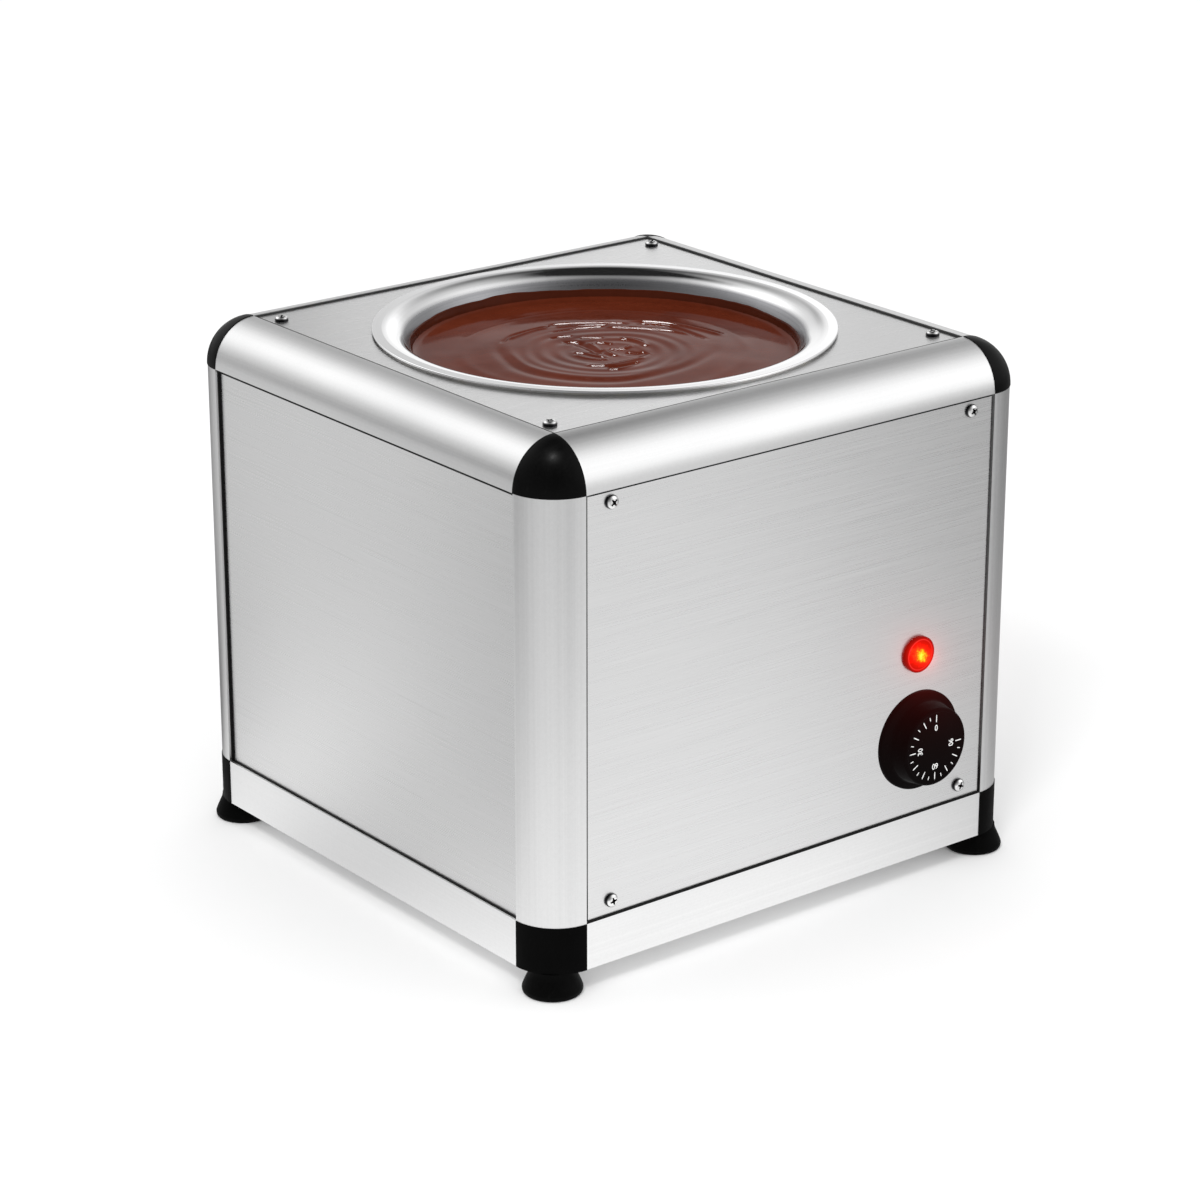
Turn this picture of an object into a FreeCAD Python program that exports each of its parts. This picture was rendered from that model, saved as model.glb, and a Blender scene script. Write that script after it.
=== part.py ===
import FreeCAD, Part
import os, math

# Countertop chocolate melter: a square housing of quarter-round aluminium
# extrusions and brushed steel panels, with a lift-out round pot in a dry
# heated well, a dial thermostat and a red pilot lamp on the front.
# Units are millimetres. +Z is up, the front (knob side) faces -Y, the origin
# is on the table under the middle of the housing.

os.makedirs("parts", exist_ok=True)
V = FreeCAD.Vector

# ---------------------------------------------------------------- dimensions
W = 280.0            # housing width over the side rails (X)
D = 274.0            # housing depth over the front and back rails (Y)
R = 22.0             # outer radius of the quarter-round extrusions
SKIN = 1.8           # extrusion skin thickness
Z_BASE = 12.0        # underside of the base rails
H_BASE = 22.0        # height of the base rails
Z_TOP = 253.0        # top of the top rails
CAP_PROUD = 0.3      # corner caps stand this proud of the extrusions

HX, HY = W / 2.0, D / 2.0
Z_B1 = Z_BASE + H_BASE          # top of the base rails, 34
Z_P1 = Z_TOP - R                # top of the posts, 231

BOSS = 13.5          # screw boss centre from both outer planes
BOSS_R = 4.0
BOSS_HOLE = 1.7
PIN_R = 1.65         # cap pins pressed into the bosses
PIN_L = 10.0

PANEL_T = 1.2        # sheet thickness
REC_L = 0.8          # screwed panels sit this far under the outer plane
GASKET_T = 1.0
LIP_U0 = REC_L + PANEL_T + GASKET_T      # 3.0
LIP_T = 1.6
LIP_V = 34.0         # reach of the screwed-panel lips from the next plane
EDGE_GAP = 0.75      # joint between a screwed panel and the extrusion beside it
TOP_GAP = 1.0        # the same joint round the top panel
BEAD_U = 0.12        # the gasket bead fills the joint to just under the outer plane
REC_S = 2.2          # slotted side panels sit this far under the outer plane
SLOT_U0, SLOT_U1, SLOT_V = 1.2, 4.4, 18.4
SLIP_V = 26.0        # reach of the inner slot lip

SCREW_HEAD_R, SCREW_HEAD_H = 3.2, 2.2
SCREW_R = 1.6
FRONT_SX = 104.0                 # front and back panel screws, +-X
FRONT_SZ = (41.5, 225.5)
TOP_SX, TOP_SY = 110.5, 102.5    # top panel screws

FOOT_IN = 13.0       # foot centre from the outer planes
FOOT_R = 13.6

CTRL_X = 75.6        # lamp and knob column
KNOB_Z = 72.3
LAMP_Z = 114.2
KNOB_R = 24.0
KNOB_FACE_R = 17.9
KNOB_H = 14.0
SPINDLE_R = 3.0
LAMP_R = 8.7
LAMP_H = 3.1

GLAND_X, GLAND_Z = 80.0, 62.0
GLAND_OUT = 14.0     # how far the gland stands out of the back panel
CABLE_R = 3.6

POT_R = 89.5         # pot inner radius
POT_T = 1.0
POT_RIM_R = 107.5
POT_TOP = 254.2
POT_FLOOR = 115.2    # pot floor, inside
POT_BEND = 13.5      # inner radius of the bend from the flange to the wall
CHOC_Z = 241.5       # level of the melted chocolate
FILM_Z = 247.0       # top of the film left on the pot wall

WELL_R = 93.0        # well inner radius
WELL_T = 1.0
WELL_FLOOR = 111.0
WELL_RIM_R = 106.0
TOP_HOLE_R = 103.2

# ------------------------------------------------------------------- helpers
def box(x0, x1, y0, y1, z0, z1):
    return Part.makeBox(x1 - x0, y1 - y0, z1 - z0, V(x0, y0, z0))


def cyl(r, p, d, h):
    return Part.makeCylinder(r, h, V(*p), V(*d))


def fuse(shapes):
    s = shapes[0]
    if len(shapes) > 1:
        s = s.fuse(shapes[1:])
    return s.removeSplitter()


def positive(s):
    if s.Volume < 0:
        s.reverse()
    return s


def save(name, shape):
    sols = shape.Solids
    if len(sols) == 1:
        shape = sols[0]
    else:
        shape = Part.makeCompound(sols)
    print("%-28s solids %2d  valid %s  volume %10.1f" % (name, len(sols), shape.isValid(), shape.Volume))
    shape.exportStep("parts/%s.step" % name)
    return shape


def revolve(segs, axis_p=(0, 0, 0), axis_d=(0, 0, 1)):
    face = Part.Face(Part.Wire(Part.__sortEdges__(segs)))
    return positive(face.revolve(V(*axis_p), V(*axis_d), 360))


def rz(points):
    """Edges of a closed half section. Each item is (r, z), or
    ('arc', (r, z) mid, (r, z) end)."""
    def p(q):
        return V(q[0], 0, q[1])
    edges, cur, first = [], None, None
    for it in points:
        if it[0] == 'arc':
            edges.append(Part.Arc(p(cur), p(it[1]), p(it[2])).toShape())
            cur = it[2]
        else:
            if cur is None:
                first = it
            elif (p(it) - p(cur)).Length > 1e-6:
                edges.append(Part.makeLine(p(cur), p(it)))
            cur = it
    if (p(cur) - p(first)).Length > 1e-6:
        edges.append(Part.makeLine(p(cur), p(first)))
    return edges


def arc_mid(c, r, a0, a1):
    a = math.radians((a0 + a1) / 2.0)
    return (c[0] + r * math.cos(a), c[1] + r * math.sin(a))


def turned(points, origin, direction):
    """Solid of revolution about a line: half section in (r, t), t along the line."""
    s = revolve(rz(points))
    d = V(*direction)
    rot = FreeCAD.Rotation(V(0, 0, 1), d)
    s.Placement = FreeCAD.Placement(V(*origin), rot)
    return s


def hexprism(af, p, d, h, turn=0.0):
    r = af / math.sqrt(3.0)
    pts = [V(r * math.cos(math.radians(60 * i + turn)), r * math.sin(math.radians(60 * i + turn)), 0) for i in range(7)]
    s = Part.Face(Part.makePolygon(pts)).extrude(V(0, 0, h))
    s.Placement = FreeCAD.Placement(V(*p), FreeCAD.Rotation(V(0, 0, 1), V(*d)))
    return positive(s)


class Local:
    """Cross-section frame of an extrusion: u and v are the distances from its
    two outer planes, s runs along it."""
    def __init__(self, f):
        self.f = f

    def P(self, u, v, s):
        return V(*self.f(u, v, s))

    def poly(self, pts, s0, s1):
        w = [self.P(u, v, s0) for u, v in pts]
        w.append(w[0])
        face = Part.Face(Part.makePolygon(w))
        return positive(face.extrude(self.P(0, 0, s1) - self.P(0, 0, s0)))

    def rect(self, u0, u1, v0, v1, s0, s1):
        return self.poly([(u0, v0), (u1, v0), (u1, v1), (u0, v1)], s0, s1)

    def ring(self, r0, r1, s0, s1):
        c = math.sqrt(0.5)
        e = [Part.Arc(self.P(R - r1, R, s0), self.P(R - r1 * c, R - r1 * c, s0), self.P(R, R - r1, s0)).toShape(),
             Part.makeLine(self.P(R, R - r1, s0), self.P(R, R - r0, s0)),
             Part.Arc(self.P(R, R - r0, s0), self.P(R - r0 * c, R - r0 * c, s0), self.P(R - r0, R, s0)).toShape(),
             Part.makeLine(self.P(R - r0, R, s0), self.P(R - r1, R, s0))]
        face = Part.Face(Part.Wire(e))
        return positive(face.extrude(self.P(0, 0, s1) - self.P(0, 0, s0)))

    def envelope(self, s0, s1):
        c = math.sqrt(0.5)
        e = [Part.Arc(self.P(0, R, s0), self.P(R - R * c, R - R * c, s0), self.P(R, 0, s0)).toShape(),
             Part.makeLine(self.P(R, 0, s0), self.P(60, 0, s0)),
             Part.makeLine(self.P(60, 0, s0), self.P(60, 60, s0)),
             Part.makeLine(self.P(60, 60, s0), self.P(0, 60, s0)),
             Part.makeLine(self.P(0, 60, s0), self.P(0, R, s0))]
        face = Part.Face(Part.Wire(e))
        return positive(face.extrude(self.P(0, 0, s1) - self.P(0, 0, s0)))

    def disc(self, u, v, r, s0, s1):
        d = self.P(0, 0, s1) - self.P(0, 0, s0)
        return Part.makeCylinder(r, d.Length, self.P(u, v, s0), d)

    def side(self, kind, swap, s0, s1, l0, l1):
        """Panel edge on one side. kind L is a screwed lip, kind S a slot.
        swap False: depth is u, the panel runs along v. Lips past the corner
        square run only from l0 to l1."""
        def rc(a0, a1, b0, b1, t0, t1):
            return self.rect(b0, b1, a0, a1, t0, t1) if swap else self.rect(a0, a1, b0, b1, t0, t1)
        add, cut = [], []
        if kind == 'L':
            u1 = LIP_U0 + LIP_T
            add.append(rc(0, u1, R - SKIN, R, s0, s1))
            add.append(rc(LIP_U0, u1, R - SKIN, R, s0, s1))
            add.append(rc(LIP_U0, u1, R - 0.5, LIP_V, l0, l1))
        else:
            u1 = SLOT_U1 + 1.6
            add.append(rc(0, u1, SLOT_V - 1.6, SLOT_V, s0, s1))
            add.append(rc(SLOT_U1, u1, SLOT_V - 1.6, R, s0, s1))
            add.append(rc(SLOT_U1, u1, R - 0.5, SLIP_V, l0, l1))
            cut.append(rc(SLOT_U0, SLOT_U1, SLOT_V, 40, s0 - 1, s1 + 1))
        return add, cut


def extrusion(local, s0, s1, kind_u, lips_u, kind_v, lips_v):
    """Quarter-round extrusion. kind_u is the panel edge whose depth is u,
    kind_v the one whose depth is v."""
    c = math.sqrt(0.5)
    parts = [local.ring(R - SKIN, R, s0, s1)]
    au, cu = local.side(kind_u, False, s0, s1, *lips_u)
    av, cv = local.side(kind_v, True, s0, s1, *lips_v)
    parts += au + av
    parts.append(local.disc(BOSS, BOSS, BOSS_R, s0, s1))
    # diagonal rib from the skin to the boss
    a = R - (R - 0.6) * c
    t = 0.8 * c
    parts.append(local.poly([(a - t, a + t), (a + t, a - t), (BOSS + t, BOSS - t), (BOSS - t, BOSS + t)], s0, s1))
    s = fuse(parts).common(local.envelope(s0 - 1, s1 + 1))
    cuts = cu + cv + [local.disc(BOSS, BOSS, BOSS_HOLE, s0 - 1, s1 + 1)]
    return s.cut(cuts).removeSplitter()


def base_rail(local, s0, s1, kind):
    """Base rail section: u is the depth from the outer plane, v the height
    above the rail's underside."""
    h = H_BASE
    parts = [local.rect(0, 1.6, 0, h, s0, s1),
             local.rect(0, 16, 0, 1.6, s0, s1),
             local.disc(9, 10, 3.6, s0, s1),
             local.rect(0.5, 7, 9.2, 10.8, s0, s1)]
    if kind == 'L':
        parts += [local.rect(0, 4.6, h - 3.6, h - 2.0, s0, s1),
                  local.rect(3.0, 4.6, h - 3.6, h + 12, s0, s1)]
        cut = [local.rect(1.6, 3.0, h - 2.0, h + 1, s0 - 1, s1 + 1)]
    else:
        parts += [local.rect(0, 6.0, h - 5.2, h - 3.6, s0, s1),
                  local.rect(4.4, 6.0, h - 5.2, h + 4, s0, s1)]
        cut = [local.rect(1.2, 4.4, h - 3.6, h + 1, s0 - 1, s1 + 1)]
    s = fuse(parts)
    return s.cut(cut + [local.disc(9, 10, BOSS_HOLE, s0 - 1, s1 + 1)]).removeSplitter()


def screw(p, d, length, r=SCREW_R, hr=SCREW_HEAD_R, hh=SCREW_HEAD_H, turn=0.0):
    """Pan-head cross-recess screw. p is the seat of the head, d points out of
    the head."""
    c = (0.0, hh - 0.55 * hr - 0.25)
    head = [(0, -length), (r - 0.4, -length), (r, -length + 0.6), (r, 0), (hr, 0), (hr, hh * 0.35),
            ('arc', (hr * 0.80, hh * 0.80), (hr * 0.45, hh * 0.98)), (0, hh)]
    s = turned(head, (0, 0, 0), (0, 0, 1))
    arm = hr * 0.56
    w = 0.42
    for a in (0, 90):
        b = Part.makeBox(2 * arm, 2 * w, 1.5, V(-arm, -w, hh - 1.25))
        b.rotate(V(0, 0, 0), V(0, 0, 1), a)
        s = s.cut(b)
    cone = Part.makeCone(0.3, 1.0, 1.6, V(0, 0, hh - 1.55))
    s = s.cut(cone)
    s.rotate(V(0, 0, 0), V(0, 0, 1), turn)
    s.Placement = FreeCAD.Placement(V(*p), FreeCAD.Rotation(V(0, 0, 1), V(*d))).multiply(s.Placement)
    return s


def tube(pts, r, bend):
    """Round tube along straight runs joined by tangent arcs."""
    P = [V(*p) for p in pts]
    edges, start = [], P[0]
    for i in range(1, len(P) - 1):
        a = (P[i - 1] - P[i]).normalize()
        b = (P[i + 1] - P[i]).normalize()
        half = math.acos(max(-1, min(1, a.dot(b)))) / 2.0
        rad = min(bend, 0.45 * min((P[i] - P[i - 1]).Length, (P[i + 1] - P[i]).Length) * math.tan(half))
        t = rad / math.tan(half)
        p0, p1 = P[i] + a * t, P[i] + b * t
        m = (a + b).normalize()
        c = P[i] + m * (rad / math.sin(half))
        mid = c - m * rad
        edges.append(Part.makeLine(start, p0))
        edges.append(Part.Arc(p0, mid, p1).toShape())
        start = p1
    edges.append(Part.makeLine(start, P[-1]))
    w = Part.Wire(edges)
    circ = Part.Wire(Part.makeCircle(r, P[0], (P[1] - P[0]).normalize()))
    s = w.makePipeShell([circ], True, False)
    area = math.pi * r * r
    print("   tube r %.2f length %.1f volume ratio %.4f" % (r, w.Length, abs(s.Volume) / (area * w.Length)))
    return positive(s)


# -------------------------------------------------------------- frame pieces
# corner posts: u = depth from the front/back plane, v = depth from the side plane
XE, YE = HX - R, HY - R           # ends of the rails: 118 and 115
post_l = (Z_B1 + 12.3, Z_P1 - 12.3)
post_s = (Z_B1 + 4.3, Z_P1 - 4.3)
POSTS = {"front_left": (-1, -1), "front_right": (1, -1), "back_left": (-1, 1), "back_right": (1, 1)}
for nm, (sx, sy) in POSTS.items():
    loc = Local(lambda u, v, s, sx=sx, sy=sy: (sx * (HX - v), sy * (HY - u), s))
    save("corner_post_" + nm, extrusion(loc, Z_B1, Z_P1, 'L', post_l, 'S', post_s))

for nm, sy in (("front", -1), ("back", 1)):
    # u = depth from the front plane, v = depth from the top plane
    loc = Local(lambda u, v, s, sy=sy: (s, sy * (HY - u), Z_TOP - v))
    rail = extrusion(loc, -XE, XE, 'L', (-XE, XE), 'L', (-XE + 12.3, XE - 12.3))
    for sx in (-1, 1):
        rail = rail.cut(cyl(SCREW_R, (sx * FRONT_SX, sy * (HY + 1), FRONT_SZ[1]), (0, -sy, 0), 12))
    save("top_rail_" + nm, rail)

for nm, sx in (("left", -1), ("right", 1)):
    loc = Local(lambda u, v, s, sx=sx: (sx * (HX - u), s, Z_TOP - v))
    rail = extrusion(loc, -YE, YE, 'S', (-YE, YE), 'L', (-YE, YE))
    for sy in (-1, 1):
        rail = rail.cut(cyl(SCREW_R, (sx * TOP_SX, sy * TOP_SY, Z_TOP + 1), (0, 0, -1), 12))
    save("top_rail_" + nm, rail)

PLATE_SX, PLATE_SY = 70.0, 70.0
for nm, sy in (("front", -1), ("back", 1)):
    loc = Local(lambda u, v, s, sy=sy: (s, sy * (HY - u), Z_BASE + v))
    rail = base_rail(loc, -XE, XE, 'L')
    for sx in (-1, 1):
        rail = rail.cut(cyl(SCREW_R, (sx * FRONT_SX, sy * (HY + 1), FRONT_SZ[0]), (0, -sy, 0), 12))
        rail = rail.cut(cyl(1.9, (sx * PLATE_SX, sy * (HY - 12), Z_BASE - 1), (0, 0, 1), 4))
    save("base_rail_" + nm, rail)
for nm, sx in (("left", -1), ("right", 1)):
    loc = Local(lambda u, v, s, sx=sx: (sx * (HX - u), s, Z_BASE + v))
    rail = base_rail(loc, -YE, YE, 'S')
    for sy in (-1, 1):
        rail = rail.cut(cyl(1.9, (sx * (HX - 12), sy * PLATE_SY, Z_BASE - 1), (0, 0, 1), 4))
    save("base_rail_" + nm, rail)

# ---------------------------------------------------------- caps, feet, studs
RC = R + CAP_PROUD
studs = []
for nm, (sx, sy) in POSTS.items():
    c = V(sx * XE, sy * YE, Z_P1)
    ball = Part.makeSphere(RC, c)
    oct_ = box(min(sx * XE, sx * (XE + 30)), max(sx * XE, sx * (XE + 30)),
               min(sy * YE, sy * (YE + 30)), max(sy * YE, sy * (YE + 30)), Z_P1, Z_P1 + 30)
    cap = ball.common(oct_)
    bx, by, bz = sx * (HX - BOSS), sy * (HY - BOSS), Z_TOP - BOSS
    pins = [cyl(PIN_R, (bx, by, Z_P1 + 2), (0, 0, -1), PIN_L + 2),
            cyl(PIN_R, (sx * (XE + 2), by, bz), (-sx, 0, 0), PIN_L + 2),
            cyl(PIN_R, (bx, sy * (YE + 2), bz), (0, -sy, 0), PIN_L + 2)]
    save("top_corner_cap_" + nm, fuse([cap] + pins))

    quarter = Part.makeCylinder(RC, H_BASE, V(sx * XE, sy * YE, Z_BASE)).common(
        box(min(sx * XE, sx * (XE + 30)), max(sx * XE, sx * (XE + 30)),
            min(sy * YE, sy * (YE + 30)), max(sy * YE, sy * (YE + 30)), Z_BASE, Z_B1))
    pins = [cyl(PIN_R, (bx, by, Z_B1 - 2), (0, 0, 1), PIN_L + 2),
            cyl(PIN_R, (sx * (XE + 2), sy * (HY - 9), Z_BASE + 10), (-sx, 0, 0), PIN_L + 2),
            cyl(PIN_R, (sx * (HX - 9), sy * (YE + 2), Z_BASE + 10), (0, -sy, 0), PIN_L + 2)]
    fx, fy = sx * (HX - FOOT_IN), sy * (HY - FOOT_IN)
    low = fuse([quarter] + pins).cut(cyl(3.0, (fx, fy, Z_BASE - 1), (0, 0, 1), 16))
    save("base_corner_cap_" + nm, low)

    foot = turned([(6.2, 0), (11.9, 0), ('arc', (13.05, 0.45), (FOOT_R - 0.05, 1.6)), ('arc', (FOOT_R, 2.3), (13.4, 3.1)),
                   ('arc', (12.2, 6.0), (11.0, 8.6)), ('arc', (10.45, 10.2), (10.2, Z_BASE)),
                   (3.1, Z_BASE), (3.1, 6.6), (6.2, 6.6)], (fx, fy, 0), (0, 0, 1))
    save("foot_" + nm, foot)
    stud = turned([(0, 2.6), (5.4, 2.6), (5.4, 6.6), (3.0, 6.6), (3.0, 25.4), (2.4, 26.0), (0, 26.0)], (fx, fy, 0), (0, 0, 1))
    stud = stud.cut(hexprism(5.0, (fx, fy, 2.5), (0, 0, 1), 2.6))
    studs.append(stud)
save("foot_studs", Part.makeCompound(studs))

# -------------------------------------------------------------------- panels
PU0, PU1 = REC_L, REC_L + PANEL_T
PXE = HX - R - EDGE_GAP            # 117.25
P_Z0 = Z_B1 + 1.1                  # front panel lower edge
P_Z1 = Z_P1 - EDGE_GAP


def front_like(sy, holes):
    y0, y1 = sorted((sy * (HY - PU0), sy * (HY - PU1)))
    p = box(-PXE, PXE, y0, y1, P_Z0, P_Z1)
    g0, g1 = sorted((sy * (HY - PU1), sy * (HY - LIP_U0)))
    b0, b1 = sorted((sy * (HY - BEAD_U), sy * (HY - PU1)))
    gx, gz0, gz1 = HX - R - 0.02, Z_B1 + 0.02, Z_P1 - 0.02
    g = box(-gx, gx, g0, g1, gz0, gz1).cut(box(-HX + LIP_V, HX - LIP_V, g0 - 1, g1 + 1, Z_B1 + 12, Z_TOP - LIP_V))
    g = fuse([g, box(-gx, gx, b0, b1, gz0, gz1).cut(box(-PXE - 0.02, PXE + 0.02, b0 - 1, b1 + 1, P_Z0 - 0.02, P_Z1 + 0.02))])
    for sx in (-1, 1):
        for z in FRONT_SZ:
            c = cyl(1.9, (sx * FRONT_SX, sy * (HY + 1), z), (0, -sy, 0), 8)
            p, g = p.cut(c), g.cut(c)
    for x, z, r in holes:
        p = p.cut(cyl(r, (x, sy * (HY + 1), z), (0, -sy, 0), 8))
    return p, g


thermo_holes = [(CTRL_X, KNOB_Z, 5.3), (CTRL_X - 14, KNOB_Z, 2.1), (CTRL_X + 14, KNOB_Z, 2.1), (CTRL_X, LAMP_Z, 6.1)]
p, g = front_like(-1, thermo_holes)
save("front_panel", p)
save("front_panel_gasket", g)
p, g = front_like(1, [(GLAND_X, GLAND_Z, 8.1)])
save("back_panel", p)
save("back_panel_gasket", g)

TXE, TYE = HX - R - TOP_GAP, HY - R - TOP_GAP      # 117 and 114
top = box(-TXE, TXE, -TYE, TYE, Z_TOP - PU1, Z_TOP - PU0)
tx, ty = HX - R - 0.02, HY - R - 0.02
gas = box(-tx, tx, -ty, ty, Z_TOP - LIP_U0, Z_TOP - PU1).cut(
    box(-HX + LIP_V, HX - LIP_V, -HY + LIP_V, HY - LIP_V, Z_TOP - 5, Z_TOP))
gas = fuse([gas, box(-tx, tx, -ty, ty, Z_TOP - PU1, Z_TOP - BEAD_U).cut(
    box(-TXE - 0.02, TXE + 0.02, -TYE - 0.02, TYE + 0.02, Z_TOP - 5, Z_TOP))])
for sx in (-1, 1):
    for sy in (-1, 1):
        c = cyl(1.9, (sx * TOP_SX, sy * TOP_SY, Z_TOP + 1), (0, 0, -1), 8)
        top, gas = top.cut(c), gas.cut(c)
top = top.cut(cyl(TOP_HOLE_R, (0, 0, Z_TOP - 5), (0, 0, 1), 10))
save("top_panel", top)
save("top_panel_gasket", gas)

SPY = HY - SLOT_V - 0.2            # side panel half width, 118.4
SPZ0 = Z_B1 - 3.4                  # 30.6
SPZ1 = Z_TOP - SLOT_V - 0.2        # 234.4
for nm, sx in (("left", -1), ("right", 1)):
    def xs(u0, u1):
        return sorted((sx * (HX - u0), sx * (HX - u1)))
    corners = [box(-200, 200, *sorted((sy * (YE - 0.2), sy * 200)), Z_P1 - 0.2, 300) for sy in (-1, 1)] + \
              [box(-200, 200, *sorted((sy * (YE - 0.2), sy * 200)), 0, Z_B1 + 0.2) for sy in (-1, 1)]
    x0, x1 = xs(REC_S, REC_S + PANEL_T)
    panel = box(x0, x1, -SPY, SPY, SPZ0, SPZ1).cut(corners)
    save(nm + "_panel", panel)
    x0, x1 = xs(SLOT_U0 + 0.1, SLOT_U1 - 0.1)
    iy, iz0, iz1 = YE - 0.6, Z_B1 + 0.35, Z_P1 - 1.6
    trim = box(x0, x1, -SPY - 0.1, SPY + 0.1, SPZ0 - 0.1, SPZ1 + 0.1).cut(box(x0 - 1, x1 + 1, -iy, iy, iz0, iz1)).cut(corners)
    trim = trim.cut(panel)
    save(nm + "_panel_trim", trim)

# bottom plate with vent slots, on the inner flanges of the base rails
bz0, bz1 = Z_BASE + 1.6, Z_BASE + 2.8
plate = box(-HX + 2.2, HX - 2.2, -HY + 2.2, HY - 2.2, bz0, bz1)
for sx in (-1, 1):
    for sy in (-1, 1):
        plate = plate.cut(box(*sorted((sx * (XE - 0.4), sx * 200)), *sorted((sy * (YE - 0.4), sy * 200)), 0, 30))
holes = []
for i in range(-3, 4):
    for yc in (-46.0, 46.0):
        x = i * 18.0
        holes.append(fuse([box(x - 2, x + 2, yc - 22, yc + 22, bz0 - 1, bz1 + 1),
                           cyl(2, (x, yc - 22, bz0 - 1), (0, 0, 1), 4), cyl(2, (x, yc + 22, bz0 - 1), (0, 0, 1), 4)]))
for a in (-1, 1):
    for b in (-1, 1):
        holes.append(cyl(SCREW_R, (a * PLATE_SX, b * (HY - 12), bz0 - 1), (0, 0, 1), 4))
        holes.append(cyl(SCREW_R, (a * (HX - 12), b * PLATE_SY, bz0 - 1), (0, 0, 1), 4))
save("bottom_plate", plate.cut(holes))

# ------------------------------------------------------------------- screws
sc = []
turns = iter((12, 38, 71, 25, 55, 8, 64, 30, 17, 49, 80, 33))
for sy in (-1, 1):
    for sx in (-1, 1):
        for z in FRONT_SZ:
            sc.append(screw((sx * FRONT_SX, sy * (HY - PU0), z), (0, sy, 0), 9.0, turn=next(turns)))
for sx in (-1, 1):
    for sy in (-1, 1):
        sc.append(screw((sx * TOP_SX, sy * TOP_SY, Z_TOP - PU0), (0, 0, 1), 9.0, turn=next(turns)))
save("panel_screws", Part.makeCompound(sc))

sc = []
for a in (-1, 1):
    for b in (-1, 1):
        sc.append(screw((a * PLATE_SX, b * (HY - 12), Z_BASE), (0, 0, -1), 7.0))
        sc.append(screw((a * (HX - 12), b * PLATE_SY, Z_BASE), (0, 0, -1), 7.0))
save("bottom_plate_screws", Part.makeCompound(sc))

# -------------------------------------------------------- pot, chocolate, well
def m45(cx, cz, r, ax, az):
    k = math.sqrt(0.5)
    return (cx + ax * r * k, cz + az * r * k)


bi, bo = 12.0, 12.0 + POT_T
bc = (POT_R - bi, POT_FLOOR + bi)
rc = (POT_R + POT_BEND, POT_TOP - POT_BEND)
pot = revolve(rz([
    (0, POT_FLOOR), (bc[0], POT_FLOOR), ('arc', m45(bc[0], bc[1], bi, 1, -1), (POT_R, bc[1])),
    (POT_R, rc[1]), ('arc', m45(rc[0], rc[1], POT_BEND, -1, 1), (rc[0], POT_TOP)),
    (POT_RIM_R - 0.4, POT_TOP), ('arc', m45(POT_RIM_R - 0.4, POT_TOP - 0.4, 0.4, 1, 1), (POT_RIM_R, POT_TOP - 0.4)),
    (POT_RIM_R, POT_TOP - 0.8), ('arc', m45(POT_RIM_R - 0.2, POT_TOP - 0.8, 0.2, 1, -1), (POT_RIM_R - 0.2, POT_TOP - POT_T)),
    (rc[0], POT_TOP - POT_T), ('arc', m45(rc[0], rc[1], POT_BEND - POT_T, -1, 1), (POT_R + POT_T, rc[1])),
    (POT_R + POT_T, bc[1]), ('arc', m45(bc[0], bc[1], bo, 1, -1), (bc[0], POT_FLOOR - POT_T)),
    (0, POT_FLOOR - POT_T)]))
save("pot", pot)

g = 0.05
choc = revolve(rz([(0, POT_FLOOR + g), (bc[0], POT_FLOOR + g), ('arc', m45(bc[0], bc[1], bi - g, 1, -1), (POT_R - g, bc[1])),
                   (POT_R - g, CHOC_Z), (0, CHOC_Z)]))
save("melted_chocolate", choc)


def wall_r(z, off):
    """Radius at height z of a surface off millimetres inside the pot's bend."""
    return rc[0] - math.sqrt((POT_BEND + off) ** 2 - (z - rc[1]) ** 2)


zm = (CHOC_Z + FILM_Z) / 2.0
film = revolve(rz([(wall_r(CHOC_Z, g + 0.6), CHOC_Z), (wall_r(CHOC_Z, g), CHOC_Z),
                   ('arc', (wall_r(zm, g), zm), (wall_r(FILM_Z, g), FILM_Z)), (wall_r(FILM_Z, g + 0.25), FILM_Z),
                   ('arc', (wall_r(zm, g + 0.45), zm), (wall_r(CHOC_Z, g + 0.6), CHOC_Z))]))
save("chocolate_film", film)

wi, wo = 10.0, 10.0 + WELL_T
wc = (WELL_R - wi, WELL_FLOOR + wi)
wt = Z_TOP - PU0 + WELL_T                        # top face of the well flange, 253.2
wb = 10.0                                        # nests under the pot's bend
wr = (WELL_R + wb, wt - wb)
well = revolve(rz([
    (0, WELL_FLOOR), (wc[0], WELL_FLOOR), ('arc', m45(wc[0], wc[1], wi, 1, -1), (WELL_R, wc[1])),
    (WELL_R, wr[1]), ('arc', m45(wr[0], wr[1], wb, -1, 1), (wr[0], wt)),
    (WELL_RIM_R, wt), (WELL_RIM_R, wt - WELL_T), (wr[0], wt - WELL_T),
    ('arc', m45(wr[0], wr[1], wb - WELL_T, -1, 1), (WELL_R + WELL_T, wr[1])),
    (WELL_R + WELL_T, wc[1]), ('arc', m45(wc[0], wc[1], wo, 1, -1), (wc[0], WELL_FLOOR - WELL_T)),
    (0, WELL_FLOOR - WELL_T)]))
save("well", well)

WO = WELL_R + WELL_T
def ring_solid(r0, r1, z0, z1):
    return Part.makeCylinder(r1, z1 - z0, V(0, 0, z0)).cut(Part.makeCylinder(r0, z1 - z0 + 2, V(0, 0, z0 - 1)))


band = ring_solid(WO + 0.05, WO + 1.85, 124, 228)
wedge = Part.Face(Part.makePolygon([V(0, 0, 100), V(-14, 160, 100), V(14, 160, 100), V(0, 0, 100)])).extrude(V(0, 0, 150))
band = band.cut(wedge)
save("heating_band", band)
save("insulation_jacket", ring_solid(98.0, 110.0, 116, 238))

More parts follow.
